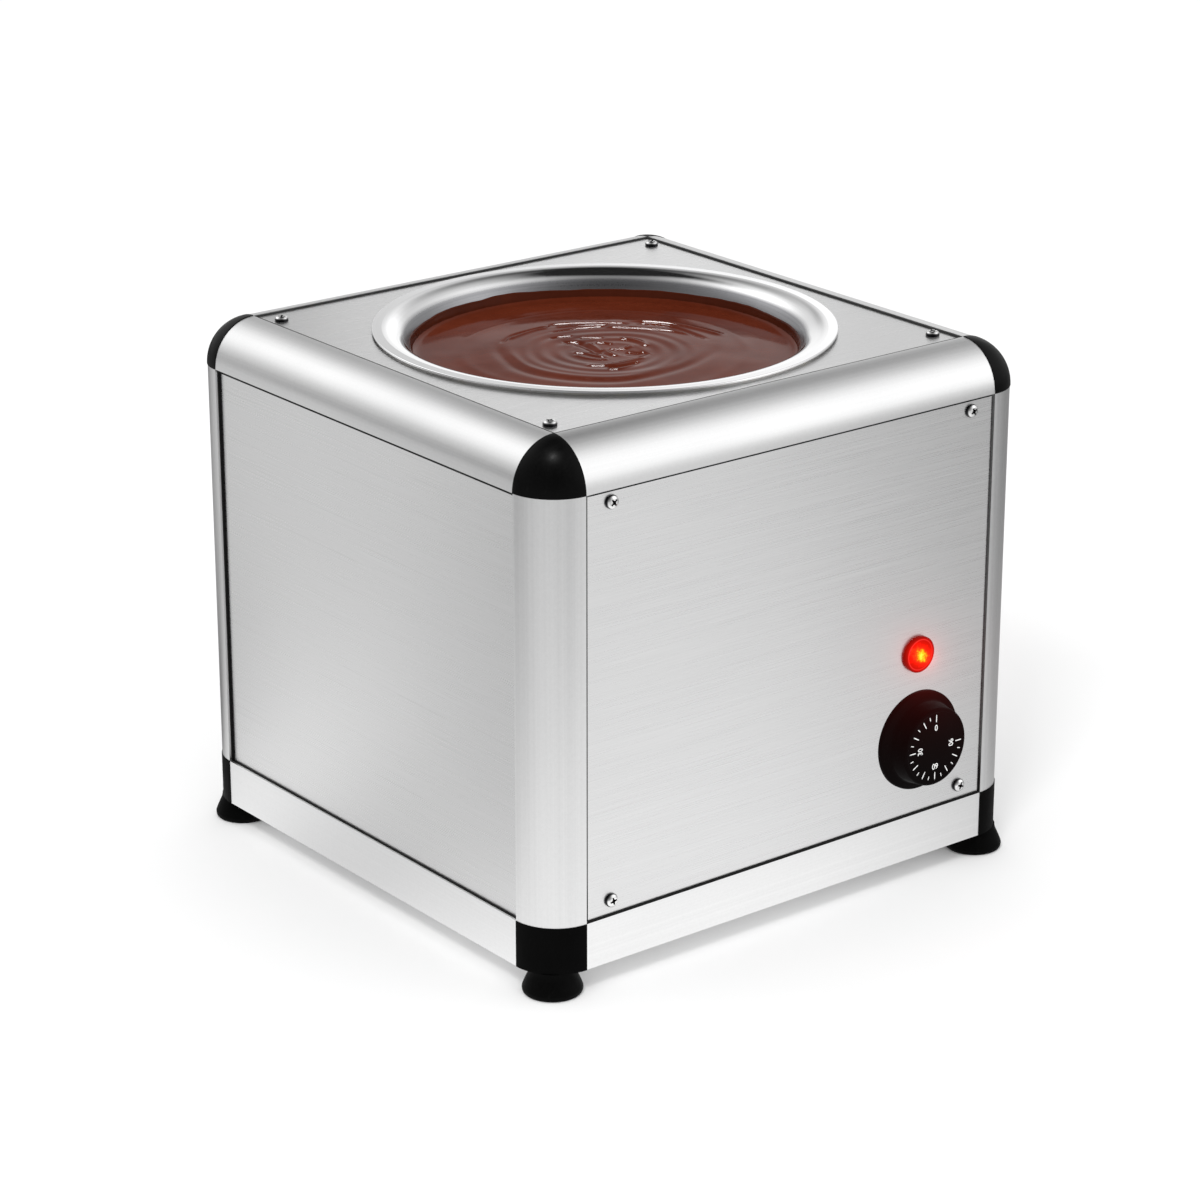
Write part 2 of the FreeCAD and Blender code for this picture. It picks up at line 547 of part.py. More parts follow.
# -------------------------------------------------- thermostat, knob and lamp
FY = -(HY - PU0)                # outer face of the front panel, -136.2
FI = -(HY - PU1)                # its inner face, -135
body = box(CTRL_X - 18, CTRL_X + 18, FI, FI + 30, KNOB_Z - 18, KNOB_Z + 18)
body = body.makeFillet(2.0, [e for e in body.Edges if abs(e.Vertexes[0].Y - e.Vertexes[1].Y) > 10])
body = fuse([body, cyl(5.0, (CTRL_X, FI + 1, KNOB_Z), (0, -1, 0), 1 + PANEL_T + 0.4),
             box(CTRL_X + 8, CTRL_X + 13, FI + 29, FI + 36, KNOB_Z - 11, KNOB_Z - 10.2),
             box(CTRL_X - 4, CTRL_X + 1, FI + 29, FI + 36, KNOB_Z - 11, KNOB_Z - 10.2)])
body = body.cut(cyl(SPINDLE_R + 0.05, (CTRL_X, FI - 5, KNOB_Z), (0, 1, 0), 20))
for s_ in (-1, 1):
    body = body.cut(cyl(1.9, (CTRL_X + s_ * 14, FI - 1, KNOB_Z), (0, 1, 0), 9))
save("thermostat_body", body)
save("thermostat_screws", Part.makeCompound([
    screw((CTRL_X + s_ * 14, FY, KNOB_Z), (0, -1, 0), 6.0, r=1.9, hr=3.3, hh=1.8) for s_ in (-1, 1)]))

sp_len = (FI + 14) - (FY - 11)
spindle = cyl(SPINDLE_R, (CTRL_X, FY - 11, KNOB_Z), (0, 1, 0), sp_len)
spindle = spindle.cut(box(CTRL_X - 5, CTRL_X + 5, FY - 12, FY - 2.5, KNOB_Z + 1.6, KNOB_Z + 6))
save("thermostat_spindle", spindle)

# knob: skirt, stepped drum with a slightly tapered flank, flat dial face
kt = KNOB_H
knob = turned([
    (0, 2.9), (5.6, 2.9), (5.6, 0.9), (6.9, 0.9), (6.9, 2.9), (21.4, 2.9), (22.0, 0.7), (KNOB_R - 0.5, 0.7),
    ('arc', (KNOB_R - 0.12, 0.86), (KNOB_R, 1.3)), (KNOB_R, 2.4), ('arc', (KNOB_R - 0.35, 3.35), (KNOB_R - 1.3, 3.85)),
    (21.2, 4.35), ('arc', (20.2, 4.85), (19.75, 5.9)), (18.9, kt - 1.3),
    ('arc', (18.55, kt - 0.42), (KNOB_FACE_R - 0.1, kt)), (KNOB_FACE_R - 0.7, kt),
    (KNOB_FACE_R - 0.85, kt - 0.12), (0, kt - 0.12)], (CTRL_X, FY, KNOB_Z), (0, -1, 0))   # dial face sunk 0.12 in its edge
hub = cyl(5.6, (CTRL_X, FY - 0.9, KNOB_Z), (0, -1, 0), 3)
bore = cyl(SPINDLE_R + 0.02, (CTRL_X, FY - 0.5, KNOB_Z), (0, -1, 0), 10.7)
bore = bore.cut(box(CTRL_X - 5, CTRL_X + 5, FY - 12, FY - 2.5, KNOB_Z + 1.62, KNOB_Z + 6))
knob = fuse([knob, hub]).cut(bore)
save("knob", knob)

# pilot lamp: lens, threaded body, nut
dome_r, dome_z = 7.2, 1.85
dome_R = (dome_r ** 2 + (LAMP_H - dome_z) ** 2) / (2 * (LAMP_H - dome_z))
dome_a = math.asin(dome_r / dome_R) / 2.0
lens = turned([(0, 0.6), (5.0, 0.6), (5.0, 0.0), (LAMP_R, 0.0), (LAMP_R, 1.40), ('arc', (LAMP_R - 0.15, 1.89), (LAMP_R - 0.6, 2.05)),
               ('arc', (7.72, 1.93), (7.45, 1.70)), (dome_r, dome_z),
               ('arc', (dome_R * math.sin(dome_a), LAMP_H - dome_R * (1 - math.cos(dome_a))), (0, LAMP_H))],
              (CTRL_X, FY, LAMP_Z), (0, -1, 0))
save("lamp_lens", lens)
lb = turned([(0, -0.6), (4.9, -0.6), (4.9, 0), (5.9, 0), (5.9, 16.0), (5.0, 17.0), (0, 17.0)], (CTRL_X, FY, LAMP_Z), (0, 1, 0))
tabs = [box(CTRL_X + s_ * 3 - 0.4, CTRL_X + s_ * 3 + 0.4, FY + 16.5, FY + 24, LAMP_Z - 1.6, LAMP_Z + 1.6) for s_ in (-1, 1)]
save("lamp_body", fuse([lb] + tabs))
nut = hexprism(15.0, (CTRL_X, FI, LAMP_Z), (0, 1, 0), 3.0, 12).cut(cyl(5.92, (CTRL_X, FI - 1, LAMP_Z), (0, 1, 0), 6))
save("lamp_nut", nut)

# capillary and bulb under the well, cut-out beside it
bulb_z = WELL_FLOOR - WELL_T - 3.1
bulb = turned([(0, 0), (2.2, 0), (3.0, 1.2), (3.0, 76), (2.0, 79), (0, 80)], (40, -20, bulb_z), (-1, 0, 0))
cap_ = tube([(62, FI + 30, 84), (62, -60, 84), (62, -20, bulb_z), (39.0, -20, bulb_z)], 0.9, 12)
save("capillary_bulb", fuse([bulb, cap_]))

cut_c = (-45.0, 30.0)
zc = WELL_FLOOR - WELL_T
tco = fuse([cyl(8.0, (cut_c[0], cut_c[1], zc - 9), (0, 0, 1), 9),
            box(cut_c[0] - 12, cut_c[0] + 12, cut_c[1] - 4, cut_c[1] + 4, zc - 0.8, zc),
            box(cut_c[0] - 6.5, cut_c[0] - 5.7, cut_c[1] - 2.4, cut_c[1] + 2.4, zc - 16, zc - 8),
            box(cut_c[0] + 5.7, cut_c[0] + 6.5, cut_c[1] - 2.4, cut_c[1] + 2.4, zc - 16, zc - 8)])
save("thermal_cutout", tco)

# terminal block on the bottom plate
tb = box(50, 90, 60, 80, bz1, bz1 + 16)
tb = fuse([tb.cut([box(49, 91, 59, 63, bz1 + 11, bz1 + 20), box(49, 91, 77, 81, bz1 + 11, bz1 + 20)])])
tb = tb.cut([cyl(1.9, (54.5 + 7.75 * i, 70, bz1 + 9), (0, 0, 1), 10) for i in range(5)])
save("terminal_block", tb)

wires = [
    tube([(86.1, FI + 36, KNOB_Z - 10.6), (86.1, -60, KNOB_Z - 10.6), (82, 20, bz1 + 6), (82, 60, bz1 + 6)], 1.2, 14),
    tube([(72.6, FY + 24, LAMP_Z), (72.6, -96, LAMP_Z), (72.6, -96, 46), (66, 34, bz1 + 6), (66, 60, bz1 + 6)], 1.0, 10),
    tube([(78.6, FY + 24, LAMP_Z), (78.6, -92, LAMP_Z), (78.6, -92, 44), (74, 30, bz1 + 6), (74, 60, bz1 + 6)], 1.0, 10),
    tube([(57.2, 76.25, 124), (57.2, 76.25, 100), (57.2, 104, 70), (57.2, 104, bz1 + 6), (57.2, 80, bz1 + 6)], 1.2, 8),
    tube([(cut_c[0] + 6.1, cut_c[1], zc - 16), (cut_c[0] + 6.1, cut_c[1], 70), (10, 70, bz1 + 6), (50, 70, bz1 + 6)], 1.2, 14),
]
save("internal_wiring", Part.makeCompound(wires))

# --------------------------------------------------------------- cable gland
BY, BI = HY - PU0, HY - PU1
gb = fuse([cyl(8.0, (GLAND_X, BI - 9, GLAND_Z), (0, 1, 0), 9 + PANEL_T),
           hexprism(22.0, (GLAND_X, BY, GLAND_Z), (0, 1, 0), 4.5, 0),
           cyl(7.6, (GLAND_X, BY + 4, GLAND_Z), (0, 1, 0), 5.0)])
gb = gb.cut(cyl(5.6, (GLAND_X, BI - 10, GLAND_Z), (0, 1, 0), 40))
save("gland_body", gb)
ln = hexprism(21.0, (GLAND_X, BI - 4, GLAND_Z), (0, 1, 0), 4.0, 15).cut(cyl(8.02, (GLAND_X, BI - 6, GLAND_Z), (0, 1, 0), 10))
save("gland_locknut", ln)
dn = turned([(7.65, 5.0), (10.6, 5.0), (10.6, 10.2), ('arc', (9.9, 12.6), (7.4, GLAND_OUT)), (4.3, GLAND_OUT), (4.3, 11.6), (5.6, 10.0),
             (7.65, 10.0)], (GLAND_X, BY, GLAND_Z), (0, 1, 0))
flats = hexprism(20.0, (GLAND_X, BY + 4, GLAND_Z), (0, 1, 0), 12, 0)
dn = dn.common(flats)
save("gland_dome_nut", dn)
sl = turned([(CABLE_R, -2.0), (5.55, -2.0), (5.55, 9.9), (CABLE_R + 0.5, 11.4), (CABLE_R, 11.4)], (GLAND_X, BY, GLAND_Z), (0, 1, 0))
save("gland_seal", sl)
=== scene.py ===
import bpy, bmesh, math
from mathutils import Vector, Matrix, noise


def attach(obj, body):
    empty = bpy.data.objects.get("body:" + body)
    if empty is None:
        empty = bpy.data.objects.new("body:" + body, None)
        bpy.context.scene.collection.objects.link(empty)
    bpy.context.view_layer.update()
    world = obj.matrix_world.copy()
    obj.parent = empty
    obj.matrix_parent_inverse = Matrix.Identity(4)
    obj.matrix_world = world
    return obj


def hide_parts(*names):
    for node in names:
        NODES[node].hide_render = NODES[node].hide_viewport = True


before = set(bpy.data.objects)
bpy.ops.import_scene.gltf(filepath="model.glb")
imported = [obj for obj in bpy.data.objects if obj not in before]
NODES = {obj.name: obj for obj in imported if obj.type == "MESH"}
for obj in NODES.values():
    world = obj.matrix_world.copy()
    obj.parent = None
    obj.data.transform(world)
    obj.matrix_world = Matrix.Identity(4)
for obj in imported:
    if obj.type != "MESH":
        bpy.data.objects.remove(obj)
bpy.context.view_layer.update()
scene = bpy.context.scene
scene.view_settings.view_transform = 'Standard'
scene.view_settings.look = 'None'
scene.view_settings.exposure = 0.0
scene.view_settings.gamma = 1.0


# ------------------------------------------------------------------ materials
class Mat:
    """A small builder for procedural materials. Coordinates are the part's own, in metres."""

    def __init__(self, name):
        self.m = bpy.data.materials.new(name)
        self.m.use_nodes = True
        self.t = self.m.node_tree
        self.n = self.t.nodes
        self.n.clear()
        self.out = self.n.new('ShaderNodeOutputMaterial')
        self.b = self.n.new('ShaderNodeBsdfPrincipled')
        self.link(self.b.outputs[0], self.out.inputs[0])
        self.tc = self.n.new('ShaderNodeTexCoord')
        self.last_bump = None

    def link(self, a, b):
        self.t.links.new(a, b)

    def put(self, sock, v):
        if isinstance(v, bpy.types.NodeSocket):
            self.link(v, sock)
        else:
            sock.default_value = v

    def setp(self, **kw):
        for k, v in kw.items():
            self.put(self.b.inputs[k.replace('_', ' ')], v)
        return self

    def coords(self, scale=(1, 1, 1), loc=(0, 0, 0), rot=(0, 0, 0), src=None):
        mp = self.n.new('ShaderNodeMapping')
        mp.inputs['Scale'].default_value = scale
        mp.inputs['Location'].default_value = loc
        mp.inputs['Rotation'].default_value = rot
        self.link(src if src is not None else self.tc.outputs['Object'], mp.inputs['Vector'])
        return mp.outputs[0]

    def noise(self, vec, scale=1.0, detail=2.0, rough=0.5, distort=0.0):
        nn = self.n.new('ShaderNodeTexNoise')
        nn.inputs['Scale'].default_value = scale
        nn.inputs['Detail'].default_value = detail
        nn.inputs['Roughness'].default_value = rough
        nn.inputs['Distortion'].default_value = distort
        self.link(vec, nn.inputs['Vector'])
        return nn.outputs[0]

    def voronoi(self, vec, scale=1.0, feature='F1'):
        nn = self.n.new('ShaderNodeTexVoronoi')
        nn.feature = feature
        nn.inputs['Scale'].default_value = scale
        self.link(vec, nn.inputs['Vector'])
        return nn.outputs['Distance']

    def ramp(self, fac, stops, interp='LINEAR'):
        r = self.n.new('ShaderNodeValToRGB')
        r.color_ramp.interpolation = interp
        e = r.color_ramp.elements
        while len(e) > 1:
            e.remove(e[-1])
        for i, (p, c) in enumerate(stops):
            if not isinstance(c, (tuple, list)):
                c = (c, c, c)
            el = e[0] if i == 0 else e.new(p)
            el.position = p
            el.color = (c[0], c[1], c[2], 1.0)
        self.link(fac, r.inputs[0])
        return r.outputs[0]

    def rng(self, v, a, b, c, d, smooth=False):
        r = self.n.new('ShaderNodeMapRange')
        if smooth:
            r.interpolation_type = 'SMOOTHSTEP'
        for i, x in enumerate((a, b, c, d)):
            r.inputs[i + 1].default_value = x
        self.link(v, r.inputs[0])
        return r.outputs[0]

    def math(self, op, a, b=0.0, c=0.0):
        m = self.n.new('ShaderNodeMath')
        m.operation = op
        for i, v in enumerate((a, b, c)):
            self.put(m.inputs[i], v)
        return m.outputs[0]

    def mix(self, fac, a, b, mode='MIX'):
        m = self.n.new('ShaderNodeMix')
        m.data_type = 'RGBA'
        m.blend_type = mode
        self.put(m.inputs[0], fac)
        for s, v in ((m.inputs[6], a), (m.inputs[7], b)):
            if isinstance(v, bpy.types.NodeSocket):
                self.link(v, s)
            else:
                if not isinstance(v, (tuple, list)):
                    v = (v, v, v)
                s.default_value = (v[0], v[1], v[2], 1.0)
        return m.outputs[2]

    def xyz(self, src=None):
        s = self.n.new('ShaderNodeSeparateXYZ')
        self.link(src if src is not None else self.tc.outputs['Object'], s.inputs[0])
        return s.outputs[0], s.outputs[1], s.outputs[2]

    def bump(self, h, dist, strength=1.0):
        b = self.n.new('ShaderNodeBump')
        b.inputs['Strength'].default_value = strength
        b.inputs['Distance'].default_value = dist
        self.link(h, b.inputs['Height'])
        if self.last_bump is not None:
            self.link(self.last_bump, b.inputs['Normal'])
        self.last_bump = b.outputs[0]
        self.link(b.outputs[0], self.b.inputs['Normal'])
        return self

    def tangent(self, axis):
        t = self.n.new('ShaderNodeTangent')
        t.direction_type = 'RADIAL'
        t.axis = axis
        self.link(t.outputs[0], self.b.inputs['Tangent'])
        return self


def stretch(axis, along, across):
    """Scale for noise stretched along one axis."""
    s = [across, across, across]
    s['XYZ'.index(axis)] = along
    return tuple(s)


def brushed(name, axis, lo, hi, r0=0.24, r1=0.34, aniso=0.7, bump=1.0, seed=0.0):
    """Sheet steel with a ground finish: fine broken scratches along axis, in three widths, and faint clouds."""
    k = Mat(name)
    fine = k.noise(k.coords(stretch(axis, 22, 3300), (seed, seed, seed)), 1.0, 3.0, 0.6)
    mid = k.noise(k.coords(stretch(axis, 9, 1050), (seed + 3.1, seed, seed)), 1.0, 4.0, 0.6)
    wide = k.noise(k.coords(stretch(axis, 4, 240), (seed + 7.7, seed, seed)), 1.0, 3.0, 0.5)
    cloud = k.noise(k.coords((7, 7, 7), (seed, 1.3, 2.2)), 1.0, 2.0, 0.5)
    lines = k.math('ADD', k.math('MULTIPLY', fine, 0.62), k.math('ADD', k.math('MULTIPLY', mid, 0.30), k.math('MULTIPLY', wide, 0.08)))
    col = k.ramp(lines, [(0.30, lo), (0.5, (lo + hi) / 2), (0.68, hi)])
    col = k.mix(k.rng(cloud, 0.3, 0.7, 0.0, 0.5), col, k.mix(1.0, col, (0.955, 0.955, 0.96), 'MULTIPLY'))
    # rare deeper scratches across the finish
    sc = k.noise(k.coords(stretch(axis, 14, 2100), (seed + 20, seed, 4)), 1.0, 0.0, 0.0)
    col = k.mix(k.rng(sc, 0.74, 0.80, 0.0, 0.35), col, lo * 0.86)
    rough = k.rng(lines, 0.30, 0.70, r0, r1)
    k.setp(Base_Color=col, Metallic=1.0, Roughness=rough, Anisotropic=aniso)
    k.tangent(axis)
    k.bump(fine, 0.000004 * bump, 0.4)
    k.bump(mid, 0.000004 * bump, 0.3)
    return k.m


def satin(name, axis, lo, hi, r0=0.30, r1=0.40, aniso=0.25, seed=0.0):
    """Anodised aluminium: a fine etched grain, faint die lines along the profile, rubbed patches."""
    k = Mat(name)
    grain = k.noise(k.coords((2600, 2600, 2600), (seed, 0, 0)), 1.0, 2.0, 0.7)
    speck = k.noise(k.coords((620, 620, 620), (0, seed, 0)), 1.0, 3.0, 0.65)
    die = k.noise(k.coords(stretch(axis, 1.2, 900), (seed, seed, 1)), 1.0, 2.0, 0.5)
    rub = k.noise(k.coords(stretch(axis, 8, 26), (seed, 5, 3)), 1.0, 3.0, 0.55)
    a = k.math('ADD', k.math('MULTIPLY', grain, 0.34), k.math('ADD', k.math('MULTIPLY', speck, 0.30), k.math('MULTIPLY', die, 0.36)))
    col = k.ramp(a, [(0.32, lo), (0.68, hi)])
    col = k.mix(k.rng(rub, 0.35, 0.7, 0.0, 0.6), col, k.mix(1.0, col, (0.965, 0.967, 0.972), 'MULTIPLY'))
    rough = k.math('ADD', k.rng(a, 0.3, 0.7, r0, r1), k.rng(rub, 0.3, 0.7, -0.015, 0.02))
    k.setp(Base_Color=col, Metallic=1.0, Roughness=rough, Anisotropic=aniso)
    k.tangent(axis)
    k.bump(grain, 0.000010, 0.35)
    k.bump(speck, 0.000022, 0.25)
    return k.m


def plastic(name, lo, hi, r0, r1, grain=900.0, depth=0.00003, strength=0.4, spec=0.5, seed=0.0, wear=None):
    """Moulded plastic or rubber with a fine spark-eroded grain, faint flow marks and scuffs."""
    k = Mat(name)
    g = k.noise(k.coords((grain, grain, grain), (seed, 0, 0)), 1.0, 3.0, 0.6)
    flow = k.noise(k.coords((34, 34, 34), (0, seed, 0)), 1.0, 4.0, 0.6, 0.6)
    scuff = k.noise(k.coords((130, 420, 130), (seed, 2, 5), (0.4, 0.7, 0.3)), 1.0, 3.0, 0.6)
    col = k.ramp(k.math('ADD', k.math('MULTIPLY', g, 0.45), k.math('MULTIPLY', flow, 0.55)), [(0.34, lo), (0.66, hi)])
    if wear is not None:
        col = k.mix(k.rng(scuff, 0.62, 0.74, 0.0, 0.35), col, wear)
    rough = k.math('ADD', k.rng(g, 0.3, 0.7, r0, r1), k.rng(scuff, 0.35, 0.7, -0.03, 0.06))
    k.setp(Base_Color=col, Roughness=rough)
    k.b.inputs['Specular IOR Level'].default_value = spec
    k.bump(g, depth, strength)
    return k.m


def turned_steel(name, lo, hi, r0, r1, seed=0.0, grain=1500.0):
    """Small machined or plated steel pieces."""
    k = Mat(name)
    g = k.noise(k.coords((grain, grain, grain), (seed, 0, 0)), 1.0, 3.0, 0.6)
    f = k.noise(k.coords((160, 160, 160), (0, seed, 0)), 1.0, 3.0, 0.6)
    col = k.ramp(k.math('ADD', k.math('MULTIPLY', g, 0.5), k.math('MULTIPLY', f, 0.5)), [(0.34, lo), (0.66, hi)])
    k.setp(Base_Color=col, Metallic=1.0, Roughness=k.rng(g, 0.3, 0.7, r0, r1))
    k.bump(g, 0.000012, 0.4)
    return k.m


def spun_steel(name):
    """The pot: polished over its flange and bend, with a duller lathe-turned wall below, painted much darker as shade
    inside the pot.
    """
    k = Mat(name)
    x, y, z = k.xyz()
    rad = k.math('SQRT', k.math('ADD', k.math('MULTIPLY', x, x), k.math('MULTIPLY', y, y)))
    ang = k.math('ARCTAN2', y, x)
    cmb = k.n.new('ShaderNodeCombineXYZ')
    k.link(k.math('MULTIPLY', ang, 0.6), cmb.inputs[0])
    k.link(k.math('MULTIPLY', rad, 900.0), cmb.inputs[1])
    k.link(k.math('MULTIPLY', z, 1500.0), cmb.inputs[2])
    rings = k.noise(cmb.outputs[0], 1.0, 3.0, 0.6)
    fine = k.noise(k.coords((1500, 1500, 1500)), 1.0, 2.0, 0.6)
    smear = k.noise(k.coords((24, 24, 60)), 1.0, 3.0, 0.55)
    wall = k.rng(z, 0.2492, 0.2516, 1.0, 0.0, True)          # 1 on the wall, which is rougher and carries painted shade; 0 on the polished part
    lines = k.math('ADD', k.math('MULTIPLY', rings, 0.7), k.math('MULTIPLY', fine, 0.3))
    # the wall's dark steel colour is painted shade inside the pot
    c_wall_painted_shade = k.ramp(lines, [(0.32, (0.20, 0.20, 0.21)), (0.68, (0.29, 0.29, 0.30))])
    c_pol = k.ramp(lines, [(0.32, (0.88, 0.88, 0.885)), (0.68, (0.93, 0.93, 0.935))])
    r_wall = k.math('ADD', k.rng(lines, 0.3, 0.7, 0.26, 0.36), k.rng(smear, 0.3, 0.7, -0.03, 0.03))
    r_pol = k.math('ADD', k.rng(lines, 0.3, 0.7, 0.05, 0.09), k.rng(smear, 0.4, 0.7, 0.0, 0.03))
    col = k.mix(wall, c_pol, c_wall_painted_shade)
    rough = k.math('ADD', k.math('MULTIPLY', wall, r_wall), k.math('MULTIPLY', k.math('SUBTRACT', 1.0, wall), r_pol))
    k.setp(Base_Color=col, Metallic=1.0, Roughness=rough, Anisotropic=0.35, Anisotropic_Rotation=0.25)
    k.tangent('Z')
    k.bump(rings, 0.000005, 0.35)
    return k.m


def chocolate(name, lo, mid, hi, r0=0.05, r1=0.10, spec=0.04):
    k = Mat(name)
    big = k.noise(k.coords((17, 17, 17)), 1.0, 3.0, 0.5, 0.8)
    fine = k.noise(k.coords((210, 210, 210)), 1.0, 3.0, 0.55)
    pin = k.voronoi(k.coords((430, 430, 430)), 1.0)
    col = k.ramp(k.math('ADD', k.math('MULTIPLY', big, 0.75), k.math('MULTIPLY', fine, 0.25)), [(0.30, lo), (0.5, mid), (0.72, hi)])
    rough = k.math('ADD', k.rng(fine, 0.3, 0.7, r0, r1), k.rng(pin, 0.0, 0.12, 0.10, 0.0))
    k.setp(Base_Color=col, Roughness=rough)
    k.b.inputs['Specular IOR Level'].default_value = spec
    k.b.inputs['Subsurface Weight'].default_value = 0.0
    k.bump(fine, 0.00003, 0.15)
    return k.m


BR_X = brushed("panel_ground_x", 'X', 0.615, 0.69, seed=1.0)
BR_B = brushed("panel_ground_back", 'X', 0.615, 0.69, seed=11.0)
BR_L = brushed("panel_ground_left", 'Y', 0.615, 0.69, seed=2.0)
BR_R = brushed("panel_ground_right", 'Y', 0.615, 0.69, seed=5.0)
BR_T = brushed("panel_ground_top", 'X', 0.60, 0.68, seed=3.0)
SAT = {a: satin("extrusion_satin_" + a.lower(), a, 0.63, 0.72, seed=i * 1.7) for i, a in enumerate('XYZ')}
BASE = {a: satin("base_extrusion_" + a.lower(), a, 0.70, 0.79, 0.32, 0.42, seed=9 + i) for i, a in enumerate('XY')}
CAP = plastic("cap_black", 0.0008, 0.0018, 0.30, 0.38, 1100, 0.00002, 0.35, 0.055, 1.0, wear=0.005)
BCAP = plastic("base_cap_black", 0.0009, 0.0018, 0.42, 0.54, 1000, 0.00003, 0.4, 0.022, 4.0, wear=0.004)
RUB = plastic("foot_rubber", 0.0010, 0.0022, 0.50, 0.65, 760, 0.00005, 0.5, 0.03, 6.0, wear=0.006)
GASK = plastic("gasket_black", 0.003, 0.007, 0.55, 0.7, 700, 0.00004, 0.5, 0.10, 8.0)


def edge_gasket(name):
    """Panel gasket: black under the panel, with painted light grey up its two sides standing in for the lit edges of
    the posts.
    """
    k = Mat(name)
    x, y, z = k.xyz()
    g = k.noise(k.coords((700, 700, 700), (8, 0, 0)), 1.0, 3.0, 0.6)
    # mask for the painted light grey up the gasket's two sides
    side = k.math('MULTIPLY', k.rng(k.math('ABSOLUTE', x), 0.1150, 0.1162, 0.0, 1.0, True), k.rng(z, 0.046, 0.056, 0.0, 1.0, True))
    dark = k.ramp(g, [(0.3, 0.003), (0.7, 0.007)])
    grey = k.ramp(g, [(0.3, 0.050), (0.7, 0.075)])
    k.setp(Base_Color=k.mix(side, dark, grey), Roughness=k.rng(g, 0.3, 0.7, 0.55, 0.7))
    k.b.inputs['Specular IOR Level'].default_value = 0.10
    k.bump(g, 0.00004, 0.5)
    return k.m


GASKF = edge_gasket("gasket_panel_edge_painted_light")
GASKT = plastic("gasket_top", 0.030, 0.045, 0.55, 0.7, 700, 0.00004, 0.5, 0.10, 8.5)
TRIM = plastic("trim_black", 0.003, 0.006, 0.45, 0.6, 800, 0.00003, 0.4, 0.10, 9.0)
KNOBM = plastic("knob_black", 0.0010, 0.0020, 0.44, 0.56, 1300, 0.00002, 0.35, 0.018, 12.0, wear=0.004)
SCREW = turned_steel("screw_steel", 0.55, 0.78, 0.16, 0.30, 1.0)
ZINC = turned_steel("zinc_plate", (0.50, 0.51, 0.53), (0.66, 0.67, 0.70), 0.28, 0.42, 2.0)
BOTTOM = brushed("bottom_sheet", 'X', 0.42, 0.52, 0.36, 0.48, 0.4, seed=14.0)
POTM = spun_steel("pot_steel")


def annealed(name):
    k = Mat(name)
    g = k.noise(k.coords((40, 40, 9)), 1.0, 4.0, 0.6, 1.2)
    f = k.noise(k.coords((1400, 1400, 1400)), 1.0, 2.0, 0.6)
    col = k.ramp(g, [(0.3, (0.40, 0.39, 0.37)), (0.55, (0.52, 0.51, 0.50)), (0.75, (0.57, 0.54, 0.48))])
    k.setp(Base_Color=col, Metallic=1.0, Roughness=k.math('ADD', k.rng(f, 0.3, 0.7, 0.30, 0.40), k.rng(g, 0.3, 0.7, -0.04, 0.05)))
    k.bump(f, 0.000012, 0.4)
    return k.m


def rubber_heater(name):
    """Silicone heater mat: woven glass cloth showing through orange silicone."""
    k = Mat(name)
    x, y, z = k.xyz()
    ang = k.math('ARCTAN2', y, x)
    wa = k.math('SINE', k.math('MULTIPLY', ang, 420.0))
    wb = k.math('SINE', k.math('MULTIPLY', z, 4200.0))
    w = k.math('MULTIPLY', wa, wb)
    n1 = k.noise(k.coords((60, 60, 60)), 1.0, 4.0, 0.6)
    col = k.ramp(k.math('ADD', k.math('MULTIPLY', w, 0.12), n1), [(0.3, (0.33, 0.075, 0.02)), (0.7, (0.50, 0.13, 0.035))])
    k.setp(Base_Color=col, Roughness=k.rng(n1, 0.3, 0.7, 0.5, 0.66))
    k.bump(w, 0.00006, 0.5)
    return k.m


def wool(name):
    k = Mat(name)
    n1 = k.noise(k.coords((240, 240, 700)), 1.0, 6.0, 0.7, 1.5)
    n2 = k.noise(k.coords((30, 30, 40)), 1.0, 4.0, 0.6)
    col = k.ramp(k.math('ADD', k.math('MULTIPLY', n1, 0.6), k.math('MULTIPLY', n2, 0.4)), [(0.3, (0.36, 0.31, 0.20)), (0.7, (0.62, 0.57, 0.43))])
    k.setp(Base_Color=col, Roughness=k.rng(n1, 0.3, 0.7, 0.85, 0.97))
    k.bump(n1, 0.0006, 0.8)
    return k.m


def pan_head(name):
    """Polished cross-recess screws: bright crowns; the flanks and recess walls carry a painted dark reflection and the
    recess floor painted shade.
    """
    k = Mat(name)
    x, y, z = k.xyz()
    nx, ny, nz = k.xyz(k.tc.outputs['Normal'])
    up = k.math('GREATER_THAN', z, 0.249)
    face = k.math('ADD', k.math('MULTIPLY', up, nz), k.math('MULTIPLY', k.math('SUBTRACT', 1.0, up), k.math('ABSOLUTE', ny)))
    g = k.noise(k.coords((1500, 1500, 1500)), 1.0, 3.0, 0.6)
    f = k.noise(k.coords((420, 420, 420), (0, 3, 0)), 1.0, 3.0, 0.6)
    steel = k.ramp(k.math('ADD', k.math('MULTIPLY', g, 0.4), k.math('MULTIPLY', f, 0.6)), [(0.34, 0.62), (0.66, 0.90)])
    # painted shade on the recess floor, below the crown, for screws in the front, back and top
    recess_shade_y = k.rng(k.math('ABSOLUTE', y), 0.1373, 0.1378, 1.0, 0.0)
    recess_shade_z = k.rng(z, 0.2533, 0.2538, 1.0, 0.0)
    deep = k.math('ADD', k.math('MULTIPLY', up, recess_shade_z), k.math('MULTIPLY', k.math('SUBTRACT', 1.0, up), recess_shade_y))
    # flanks and recess walls, facing sideways, get a painted dark reflection
    col = k.mix(k.rng(face, 0.30, 0.62, 1.0, 0.0, True), steel, (0.020, 0.020, 0.022))
    # the recess floor gets painted shade
    col = k.mix(k.math('MULTIPLY', deep, 0.92), col, (0.015, 0.015, 0.017))
    k.setp(Base_Color=col, Metallic=1.0, Roughness=k.rng(g, 0.3, 0.7, 0.12, 0.22))
    k.bump(g, 0.000012, 0.4)
    return k.m


